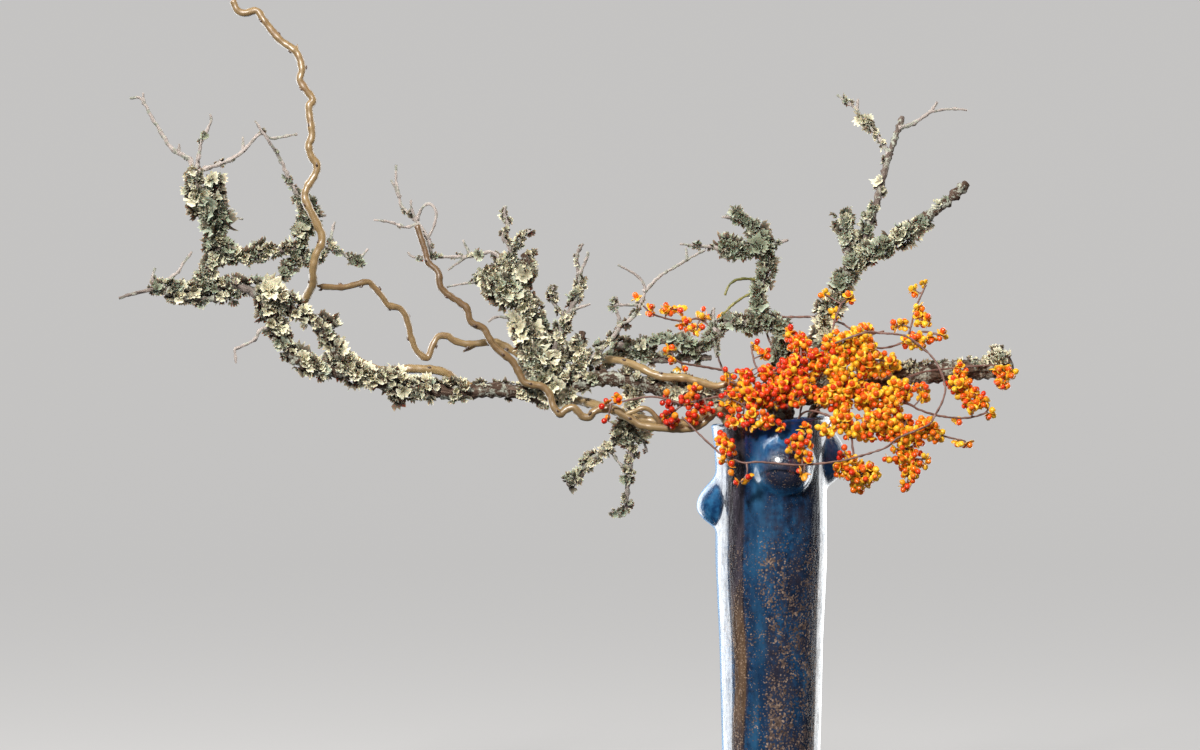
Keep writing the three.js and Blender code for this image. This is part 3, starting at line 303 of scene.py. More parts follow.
BRONZE = [(0.36, (0.05, 0.032, 0.028)), (0.52, (0.16, 0.105, 0.080)), (0.66, (0.50, 0.35, 0.25))]
TAN_RUN = [(0.4, (0.085, 0.050, 0.031)), (0.62, (0.19, 0.115, 0.066))]
TAN_SPECK = (0.34, 0.23, 0.15)
BARE_CLAY = (0.17, 0.095, 0.06)
NO_COAT = (0.0, 0.0, 0.0)
# Upright bands of the wall: the turn of the middle, half the width, and the soft border, in radians.
VEIL_BAND = (-1.2, 0.5, 0.4)
# The next two bands hold the painted dark reflections, just inside the left and the right highlight.
LEFT_REFLECTION_BAND = (-2.36, 0.16, 0.05)
RIGHT_REFLECTION_BAND = (-0.74, 0.12, 0.12)
AZURE_BAND = (-1.93, 0.06, 0.12)
TAN_BAND = (-2.365, 0.14, 0.02)

# Inside the material, heights and places are in metres.
glaze = Finish("cobalt_glaze", IOR=1.5, Coat_IOR=2.2)
up_and_down = glaze.place((1, 1, 0.28))
brushed = glaze.place((1, 1, 0.12))
evenly = glaze.place()
spot = glaze.node("ShaderNodeSeparateXYZ", {"Vector": evenly})
height = spot.outputs["Z"]
forward = glaze.times(spot.outputs["Y"], -1.0)
knob = glaze.mark("knob").outputs["Fac"]
turned = glaze.reckon("ARCTAN2", spot.outputs["Y"], spot.outputs["X"])
swing = glaze.times(glaze.minus(glaze.cloud(up_and_down, 26), 0.5), 0.3)
belly = glaze.steps(height, [(0.11, 0.0), (0.155, 0.5), (0.20, 1.0), (0.24, 0.7), (0.29, 0.45)])
wavy = glaze.minus(swing, glaze.times(belly, 0.12))


def band(middle, half, soft):
    """An upright band of the wall round one turn, with a wavy border."""
    off = glaze.reckon("ABSOLUTE", glaze.minus(glaze.plus(turned, wavy), middle))
    return glaze.steps(off, [(half, 1.0), (half + soft, 0.0)])


# Where each colour lies.
veil = band(*VEIL_BAND)
clouded = glaze.mix(0.5, glaze.cloud(up_and_down, 33, 5, 0.65), glaze.cloud(evenly, 52, 5, 0.7))
in_clouds = glaze.steps(clouded, [(0.42, 0.05), (0.56, 0.7)])
plum = glaze.times(in_clouds, glaze.steps(veil, [(0.0, 0.35), (1.0, 1.0)]))
below_neck = glaze.steps(height, [(0.345, 1.0), (0.39, 0.0)])
on_neck = glaze.steps(height, [(0.36, 0.0), (0.41, 0.8)])
on_knobs = glaze.steps(knob, [(0.02, 0.0), (0.15, 0.85)])
in_front = glaze.steps(forward, [(0.056, 0.0), (0.063, 1.0)])
crown = glaze.times(in_front, glaze.steps(knob, [(0.35, 0.0), (0.75, 0.9)]))
on_the_right = glaze.steps(spot.outputs["X"], [(0.042, 0.0), (0.048, 0.85)])
right_knob = glaze.times(on_the_right, glaze.steps(knob, [(0.01, 0.0), (0.15, 1.0)]))

# The blues, from the ground of the glaze to what lies over all.
ground = glaze.mix(0.4, glaze.cloud(up_and_down, 45, 5, 0.65), glaze.cloud(evenly, 170, 4, 0.6))
blue = glaze.steps(ground, COBALT)
for where, over in (
    (glaze.times(plum, below_neck), PLUM),
    (on_neck, glaze.mottled(up_and_down, 38, NECK_BLUE, 4)),
    # The knobs: thinner, lighter glaze, partly a painted reflection.
    (on_knobs, glaze.mottled(evenly, 110, KNOB_BLUE_AND_REFLECTION, 4)),
    (crown, glaze.steps(clouded, DARK_CROWN)),
    # Painted dark reflections beside the left and the right highlight.
    (band(*LEFT_REFLECTION_BAND), glaze.mottled(up_and_down, 120, LEFT_DARK_REFLECTION, 5, 0.65)),
    (band(*RIGHT_REFLECTION_BAND), glaze.mottled(up_and_down, 120, RIGHT_DARK_REFLECTION, 5, 0.65)),
    (right_knob, glaze.steps(clouded, NAVY)),
    (glaze.times(band(*AZURE_BAND), 0.65), glaze.mottled(up_and_down, 60, AZURE, 4)),
):
    blue = glaze.mix(where, blue, over)

# Bronze specks, thick low down and on the veiled side and thin on the neck.
cells = glaze.node("ShaderNodeTexVoronoi", {"Vector": evenly, "Scale": 430}).outputs["Distance"]
blotch = glaze.mix(0.5, glaze.cloud(up_and_down, 40, 4, 0.65), glaze.cloud(evenly, 95, 4, 0.65))
low_down = glaze.steps(height, [(0.02, 1.0), (0.30, 0.97), (0.345, 0.7), (0.40, 0.5)])
crowded = glaze.times(glaze.times(blotch, low_down), glaze.steps(veil, [(0.0, 0.84), (1.0, 1.075)]))
crowded = glaze.plus(crowded, glaze.times(crown, 0.14))
specks = glaze.steps(glaze.minus(crowded, glaze.times(cells, 0.52)), [(0.27, 0.0), (0.33, 1.0)])
colour = glaze.mix(specks, blue, glaze.mottled(evenly, 260, BRONZE, 4, 0.7))

# A tan run at the left, and the wiped clay round the foot.
run_height = glaze.steps(height, [(0.10, 0.15), (0.155, 0.95), (0.235, 0.95), (0.285, 0.1)])
run_colour = glaze.mix(specks, glaze.mottled(up_and_down, 90, TAN_RUN, 5, 0.65), TAN_SPECK)
colour = glaze.mix(glaze.times(band(*TAN_BAND), run_height), colour, run_colour)
bare = glaze.steps(height, [(0.0038, 1.0), (0.0052, 0.0)])
glaze.feed("Base Color", glaze.mix(bare, colour, BARE_CLAY))
gloss = glaze.mix(specks, (0.25, 0.25, 0.25), (0.45, 0.45, 0.45))
glaze.feed("Roughness", glaze.mix(bare, gloss, (0.85, 0.85, 0.85)))

# The glassy coat, which is thin in streaks and missing on the right knob and the front one's top.
streaks = glaze.mix(0.4, glaze.cloud(up_and_down, 130, 4, 0.65), glaze.cloud(evenly, 230, 4, 0.7))
coat = glaze.steps(streaks, [(0.44, 1.0), (0.58, 0.45)])
above_the_knob = glaze.steps(height, [(0.404, 0.0), (0.413, 0.97)])
over_the_knob = glaze.times(glaze.steps(forward, [(0.048, 0.0), (0.054, 1.0)]), above_the_knob)
for uncoated in (right_knob, over_the_knob, bare):
    coat = glaze.mix(uncoated, coat, NO_COAT)
glaze.feed("Coat Weight", coat)
glaze.feed("Coat Roughness", glaze.steps(streaks, [(0.42, 0.04), (0.58, 0.13)]))
skin = glaze.mix(0.5, glaze.cloud(brushed, 120, 4, 0.6), glaze.cloud(up_and_down, 300, 4, 0.65))
glaze.relief(skin, 0.0026, 0.6)

vase_points, vase_faces, vase_bulge = vase_mesh()
vase = mesh_object("vase_body", vase_points, vase_faces, glaze, {"knob": vase_bulge})
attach(vase, "root")
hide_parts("vase")


# Water: it fills the vase to well below the rim, and the cut ends stand in it. Its solid has the
# right shape, with a hole for each stem, so it is kept and only gets the look of clear water.
WATER_TINT = (0.80, 0.88, 0.88, 1)
clear = Finish("still_water", Base_Color=WATER_TINT, Roughness=0.02, IOR=1.33, Transmission_Weight=1)
clear.relief(clear.cloud(clear.place(), 60, 2), 0.0004, 0.15)
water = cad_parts["water"]
water.data.materials.clear()
water.data.materials.append(clear.material)


# Cross-bar: a split stick, cut to length and wedged across the neck under the rim. The stems lean
# on it, because the mouth is far wider than they are.
BAR_HALF = 49
BAR_HEIGHT = 403.5
BAR_SQUARE = 5.3
BAR_CORNERS = 20
BAR_RINGS = 41
split_wood = Finish("split_stick", Roughness=0.75)
along_bar = split_wood.place((0.12, 1, 1))
split_wood.feed("Base Color", split_wood.mottled(along_bar, 260, [
    (0.3, (0.12, 0.065, 0.035)), (0.5, (0.27, 0.165, 0.09)), (0.7, (0.42, 0.29, 0.17)),
], 5))
split_wood.relief(split_wood.cloud(along_bar, 320, 4), 0.0008, 0.6)


def bar_mesh():
    """A square stick with rounded corners, a rough split skin and narrower ends."""
    random = np.random.default_rng(5)
    turns = np.linspace(0, 2 * np.pi, BAR_CORNERS, endpoint=False)
    square = BAR_SQUARE / (np.abs(np.cos(turns)) ** 5 + np.abs(np.sin(turns)) ** 5) ** 0.2
    split = 1 + 0.05 * random.standard_normal(BAR_CORNERS)
    points = []
    for x in np.linspace(-BAR_HALF, BAR_HALF, BAR_RINGS):
        chamfer = 0.86 if abs(x) > BAR_HALF - 0.1 else 1
        wave = 0.35 * math.sin(x / 9)
        radius = square * split * chamfer * (1 + 0.02 * random.standard_normal(BAR_CORNERS))
        y, z = radius * np.cos(turns), BAR_HEIGHT + wave + radius * np.sin(turns)
        points.append(np.stack([np.full_like(y, x), y, z], axis=1))
    ring = tuple(range(BAR_CORNERS))
    last = (BAR_RINGS - 1) * BAR_CORNERS
    faces = ring_faces(BAR_RINGS, BAR_CORNERS) + [ring[::-1], tuple(last + k for k in ring)]
    return np.concatenate(points), faces


bar_points, bar_faces = bar_mesh()
bar = mesh_object("cross_bar_stick", bar_points, bar_faces, split_wood)
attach(bar, "root")
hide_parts("cross_bar")


# Bare wood of the three lichen-covered branches: dead limbs with dark, cracked bark that greys to
# a pale pinkish skin on the twigs. Each branch forks as it grew, and its cut foot stands in the vase.
# A limb has its radii at both ends, how densely lichen covers it along its length, and its points.
LONG_BRANCH = [
    ((12, 11.5), (0, 0), [
        (3, 6, 24), (8, 13, 200), (12, 19, 380), (12, 18, 412), (12, 11, 440), (14, 1, 460)
    ]),
    ((11, 11.5), (0.4, 0.4, 0.4, 0.4, 0.5, 0.9, 0.8, 0.25, 0.6, 0.9, 0.9), [
        (0, 0, 461), (30, -1, 464), (60, 0, 470), (110, 4, 481), (150, 6, 486), (189, 7, 489),
        (229, 8, 493), (239, 8, 495)
    ]),
    ((10.5, 8.5), (0.5, 0.6, 0.9, 0.75, 0.3, 1.1, 0.45, 0.55, 0.95, 1.1, 1.1), [
        (18, 1, 461), (-20, 0, 461), (-56, 0, 463), (-91, -1, 468), (-116, -2, 473),
        (-136, -3, 478), (-171, -4, 482), (-196, -4, 475), (-226, -4, 465), (-251, -5, 468),
        (-281, -6, 470), (-311, -8, 467), (-341, -9, 470), (-371, -10, 472), (-386, -11, 477),
        (-411, -13, 485), (-436, -14, 490)
    ]),
    ((7, 6.5), (1, 1), [
        (-425, -14, 488), (-456, -15, 490), (-469, -16, 497), (-481, -16, 508), (-491, -17, 525),
        (-501, -18, 540), (-508, -18, 568)
    ]),
    ((6.5, 6), (1, 1.1), [
        (-418, -13, 486), (-436, -12, 505), (-443, -12, 525), (-453, -13, 535), (-471, -15, 545),
        (-486, -17, 555), (-503, -18, 566)
    ]),
    ((7, 1.5), (1.1, 1.1, 1, 0.9, 0.2), [
        (-492, -17, 560), (-521, -19, 570), (-541, -20, 575), (-566, -20, 570), (-586, -21, 572),
        (-611, -22, 571), (-631, -23, 568), (-652, -24, 562)
    ]),
    ((4.5, 5), (1.2, 1.2), [
        (-604, -22, 570), (-590, -21, 563), (-565, -20, 561), (-546, -20, 564), (-536, -20, 571)
    ]),
    ((2.2, 1.4), (0.1, 0.1), [
        (-499, -18, 540), (-503, -24, 532), (-510, -26, 531), (-517, -28, 520), (-531, -30, 513),
        (-536, -31, 510), (-535, -32, 497)
    ]),
    ((2.2, 1.3), (0.3, 0.6), [
        (-611, -22, 571), (-618, -24, 580), (-616, -25, 592)
    ]),
    ((2.2, 1.3), (0.5, 0.2), [
        (-609, -22, 571), (-606, -20, 578), (-593, -17, 588), (-587, -15, 598), (-579, -13, 608)
    ]),
]
LEFT_COLUMN = [
    ((7, 5), (1.2, 1.2), [
        (-556, -22, 630), (-558, -22, 655), (-560, -21, 682)
    ]),
    ((5.5, 4.5), (1.3, 1.2), [
        (-566, -20, 570), (-566, -21, 582), (-559, -22, 598), (-553, -22, 615), (-556, -22, 630),
        (-568, -22, 650), (-576, -21, 670), (-578, -20, 690)
    ]),
    ((3, 1.4), (0.3, 0.1), [
        (-577, -21, 684), (-581, -19, 700), (-593, -17, 707), (-601, -15, 713), (-610, -13, 728),
        (-619, -12, 742), (-630, -10, 761), (-641, -9, 762)
    ]),
    ((1.6, 1.2), (0, 0), [
        (-627, -10, 756), (-628, -12, 767)
    ]),
    ((1.6, 1.2), (0, 0), [
        (-592, -17, 706), (-592, -20, 716)
    ]),
    ((2.6, 1.3), (0.6, 0.1), [
        (-577, -21, 680), (-572, -24, 705), (-570, -26, 718), (-566, -27, 725), (-560, -29, 739),
        (-561, -30, 746)
    ]),
    ((2.6, 1.3), (0.2, 0.7, 0.2, 0.5, 0), [
        (-576, -21, 686), (-561, -20, 693), (-541, -18, 700), (-528, -17, 709), (-511, -15, 726),
        (-501, -14, 722), (-488, -13, 723), (-474, -12, 726)
    ]),
    ((1.6, 1.2), (0, 0), [
        (-528, -17, 708), (-528, -14, 723)
    ]),
    ((2.2, 1.2), (0.8, 0.1), [
        (-555, -22, 630), (-539, -24, 641), (-528, -25, 641)
    ]),
    ((4.5, 4), (1.2, 1), [
        (-555, -22, 612), (-546, -21, 605), (-521, -19, 602), (-509, -17, 608), (-486, -14, 610),
        (-470, -6, 614)
    ]),
    ((5, 3.5), (1.2, 1.2), [
        (-471, -5, 598), (-471, -5, 625), (-465, -4, 645), (-468, -4, 662)
    ]),
    ((3.6, 4.2), (1, 0.3), [
        (-472, -6, 602), (-486, -13, 588), (-494, -16, 580), (-502, -18, 567)
    ]),
    ((2.8, 1.3), (0.5, 0.1), [
        (-468, -4, 655), (-472, -5, 664), (-480, -8, 675), (-486, -12, 690), (-493, -17, 705),
        (-503, -26, 720), (-509, -27, 729), (-516, -28, 739)
    ]),
    ((3.5, 1.8), (1.2, 0.9, 0.6), [
        (-471, -5, 604), (-453, -4, 602), (-441, -3, 612), (-426, -2, 605), (-416, -1, 598),
        (-406, 0, 595)
    ]),
    ((1.7, 1.2), (0.3, 0), [
        (-414, -1, 598), (-403, 2, 611)
    ]),
    ((1.9, 1.3), (0.8, 0.4), [
        (-441, -3, 610), (-439, 1, 628), (-436, 2, 638)
    ]),
    ((1.6, 1.2), (0.7, 0.3), [
        (-464, -4, 641), (-445, -2, 645)
    ]),
]
TUFT = [
    ((7, 9), (1.2, 1.3), [
        (-250, -4, 556), (-272, -7, 572), (-284, -8, 592)
    ]),
    ((7.5, 5), (1.3, 1.3), [
        (-221, -4, 467), (-231, -6, 490), (-241, -6, 505), (-246, -5, 525), (-249, -4, 540),
        (-246, -4, 555), (-256, -5, 575), (-266, -6, 600)
    ]),
    ((4, 1.8), (1.2, 0.9, 0.7), [
        (-264, -6, 592), (-261, -7, 612), (-268, -8, 623), (-263, -8, 635), (-267, -7, 645),
        (-265, -6, 654)
    ]),
    ((2.6, 1.5), (1, 0.9), [
        (-262, -6, 595), (-253, -4, 614), (-249, -3, 623), (-241, -2, 629)
    ]),
    ((6, 1.8), (1.2, 1.1, 0.8, 0.3), [
        (-204, -4, 474), (-211, -2, 485), (-216, 0, 510), (-201, 2, 550), (-191, 4, 570),
        (-193, 4, 590), (-194, 4, 605), (-188, 5, 616)
    ]),
    ((2.4, 1.4), (0.6, 0.1), [
        (-192, 4, 586), (-184, 0, 602), (-183, -1, 608)
    ]),
    ((3.2, 1.5), (1, 1), [
        (-204, 2, 540), (-216, -5, 555), (-220, -7, 565), (-218, -8, 573)
    ]),
    ((5, 4), (1.2, 1.2), [
        (-216, 0, 503), (-223, 4, 512), (-236, 8, 545), (-249, 2, 572)
    ]),
    ((1.9, 1.3), (0.4, 0), [
        (-201, 2, 549), (-181, -2, 556)
    ]),
    ((6.5, 5.5), (1.2, 1.2), [
        (-256, -5, 574), (-246, -5, 584), (-243, -5, 596), (-247, -5, 606)
    ]),
    ((3, 1.3), (1, 0.7, 0.5, 0.2), [
        (-264, -6, 598), (-281, -7, 608), (-296, -8, 604), (-326, -8, 603), (-341, -8, 602),
        (-358, -9, 603), (-363, -9, 608)
    ]),
    ((2.5, 1.3), (0.6, 0.3, 0.1), [
        (-340, -8, 601), (-343, -7, 620), (-354, -5, 638), (-369, -2, 653), (-372, -1, 665),
        (-375, 0, 680), (-375, 1, 695)
    ]),
    ((1.7, 1.2), (0.1, 0), [
        (-371, -1, 663), (-380, -5, 680)
    ]),
    ((1.9, 1.2), (0.4, 0.2), [
        (-353, -5, 636), (-366, -8, 633), (-381, -10, 638), (-397, -11, 640)
    ]),
    ((1.7, 1.2), (0.3, 0), [
        (-354, -5, 637), (-359, -9, 650), (-360, -10, 660)
    ]),
    ((1.6, 1.6), (0, 0), [
        (-354, -5, 640), (-349, -8, 652), (-341, -10, 656), (-335, -11, 648), (-337, -10, 634),
        (-344, -7, 620)
    ]),
    ((1.7, 1.2), (0, 0), [
        (-301, -8, 604), (-308, -10, 620)
    ]),
    ((2.2, 1.2), (1, 0.2), [
        (-260, -5, 584), (-291, -9, 579), (-309, -11, 576), (-324, -12, 573)
    ]),
    ((1.8, 1.2), (0.2, 0), [
        (-304, -8, 604), (-323, -4, 590)
    ]),
    ((1.8, 1.2), (0.8, 0.3), [
        (-249, -4, 541), (-274, -9, 543), (-283, -11, 538)
    ]),
]
SIDE_TWIGS = [
    ((4.2, 1.3), (1, 0.7, 0.3), [
        (-199, -4, 476), (-191, -6, 495), (-176, -8, 505), (-156, -10, 525), (-151, -10, 535),
        (-141, -10, 540), (-131, -9, 555), (-126, -8, 572), (-135, -9, 585), (-153, -11, 595)
    ]),
    ((6.5, 4.5), (1.1, 1.1), [
        (-193, -5, 492), (-193, -4, 510), (-188, -4, 528)
    ]),
    ((2, 1.3), (0.1, 0), [
        (-127, -8, 568), (-111, -4, 584), (-96, -1, 593), (-81, 2, 602), (-66, 4, 610)
    ]),
    ((1.5, 1.2), (0, 0), [
        (-84, 1, 600), (-85, 0, 612)
    ]),
    ((2, 1.8), (0.5, 0.6), [
        (-151, -10, 534), (-153, -13, 545), (-158, -15, 557), (-154, -16, 563)
    ]),
    ((1.5, 1.5), (0.2, 0.2), [
        (-157, -15, 555), (-131, -9, 555)
    ]),
    ((5.5, 4.5), (1.1, 1.1), [
        (-136, -3, 474), (-140, -2, 435), (-141, -2, 418)
    ]),
    ((4.5, 4.8), (1, 0.8), [
        (-139, -2, 434), (-151, -4, 425), (-166, -6, 410), (-181, -8, 397), (-193, -9, 383),
        (-203, -10, 375)
    ]),
    ((4.5, 2.4), (1, 0.9), [
        (-141, -2, 424), (-139, -1, 410), (-141, 0, 395), (-143, 1, 380), (-145, 2, 352),
        (-149, 2, 346), (-159, 1, 348)
    ]),
    ((2.8, 1.8), (1, 1), [
        (-140, -2, 439), (-131, 2, 430), (-126, 5, 415), (-124, 6, 408)
    ]),
    ((1.9, 1.4), (0.6, 0.4), [
        (-161, -5, 414), (-155, -7, 401), (-148, -9, 393)
    ]),
]
ARCH_BRANCH = [
    ((7.5, 6), (0, 0, 0, 0, 0, 0, 0, 0.5, 1, 1, 0.9), [
        (-10, 26, 170), (-8, 34, 380), (-8, 35, 412), (-2, 34, 440), (6, 32, 470), (14, 30, 515),
        (9, 28, 530), (-6, 26, 540), (-16, 26, 537)
    ]),
    ((6, 3.5), (1, 1.2), [
        (-12, 26, 538), (-14, 26, 555), (-9, 28, 575), (-6, 29, 595), (-6, 30, 615),
        (-21, 28, 635), (-31, 27, 642), (-37, 26, 651)
    ]),
    ((2.4, 1.4), (0.5, 0.1), [
        (-33, 27, 643), (-49, 24, 643)
    ]),
    ((3.8, 1.5), (1, 0.7, 0.3), [
        (-6, 29, 610), (-16, 27, 610), (-31, 25, 608), (-46, 24, 610), (-59, 23, 613),
        (-71, 23, 614), (-91, 22, 616)
    ]),
    ((6.5, 5), (1.1, 1), [
        (-12, 27, 611), (-32, 25, 611), (-50, 24, 612)
    ]),
    ((3, 1.5), (0.9, 0.5), [
        (-7, 30, 613), (4, 31, 616), (17, 33, 620)
    ]),
    ((6, 3), (1.1, 1, 1), [
        (-7, 26, 539), (-21, 26, 535), (-36, 26, 538), (-51, 25, 530), (-59, 24, 520),
        (-71, 23, 512), (-91, 22, 515), (-106, 22, 520), (-121, 22, 515), (-136, 22, 510),
        (-151, 22, 515), (-159, 22, 508), (-163, 20, 492)
    ]),
    ((5.5, 3.5), (1.1, 1, 0.5), [
        (-147, 23, 514), (-128, 26, 504), (-104, 28, 500), (-80, 29, 503), (-60, 30, 502)
    ]),
    ((2, 1.4), (0.4, 0.2), [
        (-129, 22, 512), (-131, 20, 526)
    ]),
    ((2.6, 1.4), (0.6, 0.2), [
        (-55, 25, 527), (-58, 25, 535), (-57, 26, 552)
    ]),
    ((2.8, 2), (0.7, 0.3), [
        (-57, 24, 522), (-54, 20, 503)
    ]),
]
GREEN_SHOOTS = [
    ((1.5, 1.4), (0, 0), [
        (-11, 27, 566), (-23, 22, 565), (-36, 20, 557), (-49, 19, 545)
    ]),
    ((1.5, 1.4), (0, 0), [
        (-9, 28, 578), (-21, 24, 581), (-31, 22, 581), (-41, 21, 576), (-46, 21, 565)
    ]),
]
FORK_BRANCH = [
    ((7.5, 5), (0, 0, 0, 0, 0, 0.4, 1, 1.1, 1.2, 1), [
        (30, 14, 140), (36, 18, 380), (36, 18, 412), (40, 21, 440), (48, 24, 465), (52, 26, 490),
        (54, 27, 525), (55, 27, 540), (59, 27, 555), (67, 28, 570), (74, 28, 585), (84, 28, 595),
        (97, 27, 602), (114, 25, 613), (129, 24, 620), (144, 22, 632), (154, 20.7, 641)
    ]),
    ((5.2, 5.2), (0.7, 0.3, 0.1, 0), [
        (144, 22, 632), (159, 20, 645), (174, 18, 657), (196, 15, 676)
    ]),
    ((5, 3.2), (0.9, 0.8, 0.4, 0.25), [
        (80, 28, 592), (91, 30, 610), (95, 32, 625), (99, 33, 638), (105, 34, 655), (109, 34, 670),
        (114, 35, 690), (118, 35, 705), (126, 36, 727), (131, 37, 743)
    ]),
    ((2.7, 1.5), (0.2, 0), [
        (128, 36, 732), (141, 34, 736), (151, 33, 742), (161, 31, 750), (166, 30, 758)
    ]),
    ((1.6, 1.2), (0, 0), [
        (158, 31, 748), (179, 29, 751), (196, 27, 750)
    ]),
    ((3, 1.6), (0.5, 1, 0.9, 0.3), [
        (118, 35, 705), (111, 36, 718), (104, 37, 727), (89, 39, 745), (84, 40, 752),
        (75, 41, 758), (66, 42, 765)
    ]),
    ((1.6, 1.2), (0.1, 0), [
        (86, 39, 748), (87, 37, 761)
    ]),
    ((3, 6), (0.1, 0.3, 1.3, 1.3), [
        (77, 28, 588), (76, 30, 613), (75, 31, 630), (73, 31, 646)
    ]),
]
# Left of SWEEP_START the limbs sweep forward. Above LEAN_START they lean back, fully so past the place
# that is LEAN_SPREAD to the right of LEAN_LEFT.
SWEEP_START, SWEEP_LENGTH, SWEEP_FORWARD = -150, 500, 60
LEAN_START, LEAN_SLOPE = 520, 0.25
LEAN_LEFT, LEAN_SPREAD = -250, 200


def in_depth(points):
    """Points drawn as seen from the camera, moved to their depth: the long arm sweeps forward
    towards its far end, and what stands high over the mouth leans back."""
    points = np.array(points, dtype=float)
    x, z = points[:, 0], points[:, 2]
    far = np.maximum(SWEEP_START - x, 0) / SWEEP_LENGTH
    right = np.clip((x - LEAN_LEFT) / LEAN_SPREAD, 0, 1)
    lean = LEAN_SLOPE * np.maximum(z - LEAN_START, 0) * right * right * (3 - 2 * right)
    depth = points[:, 1] + lean - SWEEP_FORWARD * far ** 2
    scale = 1 - depth / EYE[1]
    return np.stack([EYE[0] + (x - EYE[0]) * scale, depth, EYE[2] + (z - EYE[2]) * scale], axis=1)


class Path:
    """A smooth curve through a limb's points, with a direction and two cross-directions all along."""

    def __init__(self, points, step, drawn=True):
        points = in_depth(points) if drawn else np.array(points, dtype=float)
        ends = np.concatenate([[2 * points[0] - points[1]], points, [2 * points[-1] - points[-2]]])
        places = []
        for i in range(1, len(ends) - 2):
            p0, p1, p2, p3 = ends[i - 1:i + 3]
            count = max(2, int(np.ceil(np.linalg.norm(p2 - p1) / step)))
            t = np.arange(count)[:, None] / count
            places.append(0.5 * (2 * p1 + (p2 - p0) * t + (2 * p0 - 5 * p1 + 4 * p2 - p3) * t ** 2
                                 + (3 * p1 - p0 - 3 * p2 + p3) * t ** 3))
        self.points = np.concatenate(places + [points[-1:]])
        gaps = np.linalg.norm(np.diff(self.points, axis=0), axis=1)
        self.along = np.concatenate([[0], np.cumsum(gaps)])
        self.length = self.along[-1]
        ahead = np.gradient(self.points, axis=0)
        self.ahead = ahead / np.linalg.norm(ahead, axis=1)[:, None]
        side = np.cross(self.ahead[0], [0, 1, 0.1])
        sides = []
        for direction in self.ahead:
            side = side - direction * side.dot(direction)
            side = side / np.linalg.norm(side)
            sides.append(side)
        self.side = np.array(sides)
        self.up = np.cross(self.ahead, self.side)

    def taper(self, start, end, along=None):
        """Radii at its points, or at places along it, from one at its start to one at its end."""
        return np.interp(self.along if along is None else along, [0, self.length], [start, end])

    def at(self, along, turn):
        """Centre, direction along and direction outward at places along and round the path."""
        def between(rows):
            return np.stack([np.interp(along, self.along, rows[:, k]) for k in range(3)], axis=1)
        centre, ahead, side = between(self.points), between(self.ahead), between(self.side)
        ahead /= np.linalg.norm(ahead, axis=1)[:, None]
        side -= ahead * (side * ahead).sum(axis=1)[:, None]
        side /= np.linalg.norm(side, axis=1)[:, None]
        out = side * np.cos(turn)[:, None] + np.cross(ahead, side) * np.sin(turn)[:, None]
        return centre, ahead, out


class Bundle:
    """Points, faces and marks of many like shapes that become one piece."""

    def __init__(self):
        self.points, self.faces, self.marks, self.count = [], [], {}, 0

    def add(self, points, faces, marks):
        self.points.append(points)
        self.faces.extend(tuple(corner + self.count for corner in face) for face in faces)
        for label, values in marks.items():
            self.marks.setdefault(label, []).append(values)
        self.count += len(points)

    def piece(self, name, finish, hard_from=None):
        marks = {label: np.concatenate(values) for label, values in self.marks.items()}
        return mesh_object(name, np.concatenate(self.points), self.faces, finish, marks, hard_from)


# Knots: how many waves of swelling a limb has, and how long the longest and the shortest are.
KNOT_WAVES = 14
LONGEST_WAVE, SHORTEST_WAVE = 60, 7
GRAIN_LENGTH = 30


def tube(bundle, path, radii, corners, knots=0.0, random=None, **marks):
    """A closed tube along a path, with rounded ends. Knots swell and dent it by that share. It is
    marked with its grain, which runs round it and along it."""
    turns = np.linspace(0, 2 * np.pi, corners, endpoint=False)
    radii = np.asarray(radii)
    swelling = np.ones((len(path.points), corners))
    for _ in range(KNOT_WAVES if knots else 0):
        wave = random.uniform(2 * np.pi / LONGEST_WAVE, 2 * np.pi / SHORTEST_WAVE) * random.choice([-1, 1])
        round_it = random.integers(0, 5)
        phase = random.uniform(0, 6.28)
        swelling += knots * 0.3 * np.sin(wave * path.along[:, None] + round_it * turns[None, :] + phase)
    sideways = path.side[:, None, :] * np.cos(turns)[None, :, None]
    out = sideways + path.up[:, None, :] * np.sin(turns)[None, :, None]
    rings = path.points[:, None, :] + out * (radii[:, None] * swelling)[:, :, None]
    ends = []
    for end, way in ((0, -1), (-1, 1)):
        tip = path.points[end] + way * path.ahead[end] * radii[end] * 0.35
        ring = tip * 0.6 + path.points[end] * 0.4 + out[end] * (radii[end] * 0.7)
        ends.append((tip, ring))
    (first, first_ring), (last, last_ring) = ends
    rings = np.concatenate([first_ring[None], rings, last_ring[None]])
    count = len(rings)
    points = np.concatenate([rings.reshape(-1, 3), [first, last]])
    along = np.concatenate([[0], path.along, [path.length]]) / GRAIN_LENGTH
    grain = np.zeros((len(points), 3))
    grain[:-2, 0] = np.tile(np.cos(turns), count)
    grain[:-2, 1] = np.tile(np.sin(turns), count)
    grain[:-2, 2] = np.repeat(along, corners)
    grain[-1, 2] = along[-1]
    given = {label: np.broadcast_to(value, len(points)) for label, value in marks.items()}
    bundle.add(points, closed_faces(count, corners), {"grain": grain, **given})


def core(cover):
    """The share of a limb that is wood, and not the lichen heaped on it."""
    return 0.78 if max(cover) > 0.9 else 0.92


# A limb with a root thinner than TWIG has a collar there, and one thicker than STOUT has few knots.
TWIG = 5
STOUT = 10.5
COLLAR_LENGTH = 3.5


def branch_wood(limbs, seed):
    """A tube for each limb. Where a twig leaves a thicker limb, its root swells into a collar."""
    bundle = Bundle()
    random = np.random.default_rng(seed)
    for (start, end), cover, points in limbs:
        path = Path(points, 2.6 if start > 4 else 2.2)
        radii = core(cover) * path.taper(start, end)
        if start < TWIG:
            radii = radii * (1 + 0.5 * np.exp(-path.along / COLLAR_LENGTH))
        paleness = np.clip((4.2 - radii.mean()) / 2.4, 0, 1)
        knots = 0.08 if start > STOUT else np.clip(1.9 / start, 0.14, 0.28)
        tube(bundle, path, radii, 12 if start > TWIG else 7, knots, random, twig=paleness)
    return bundle


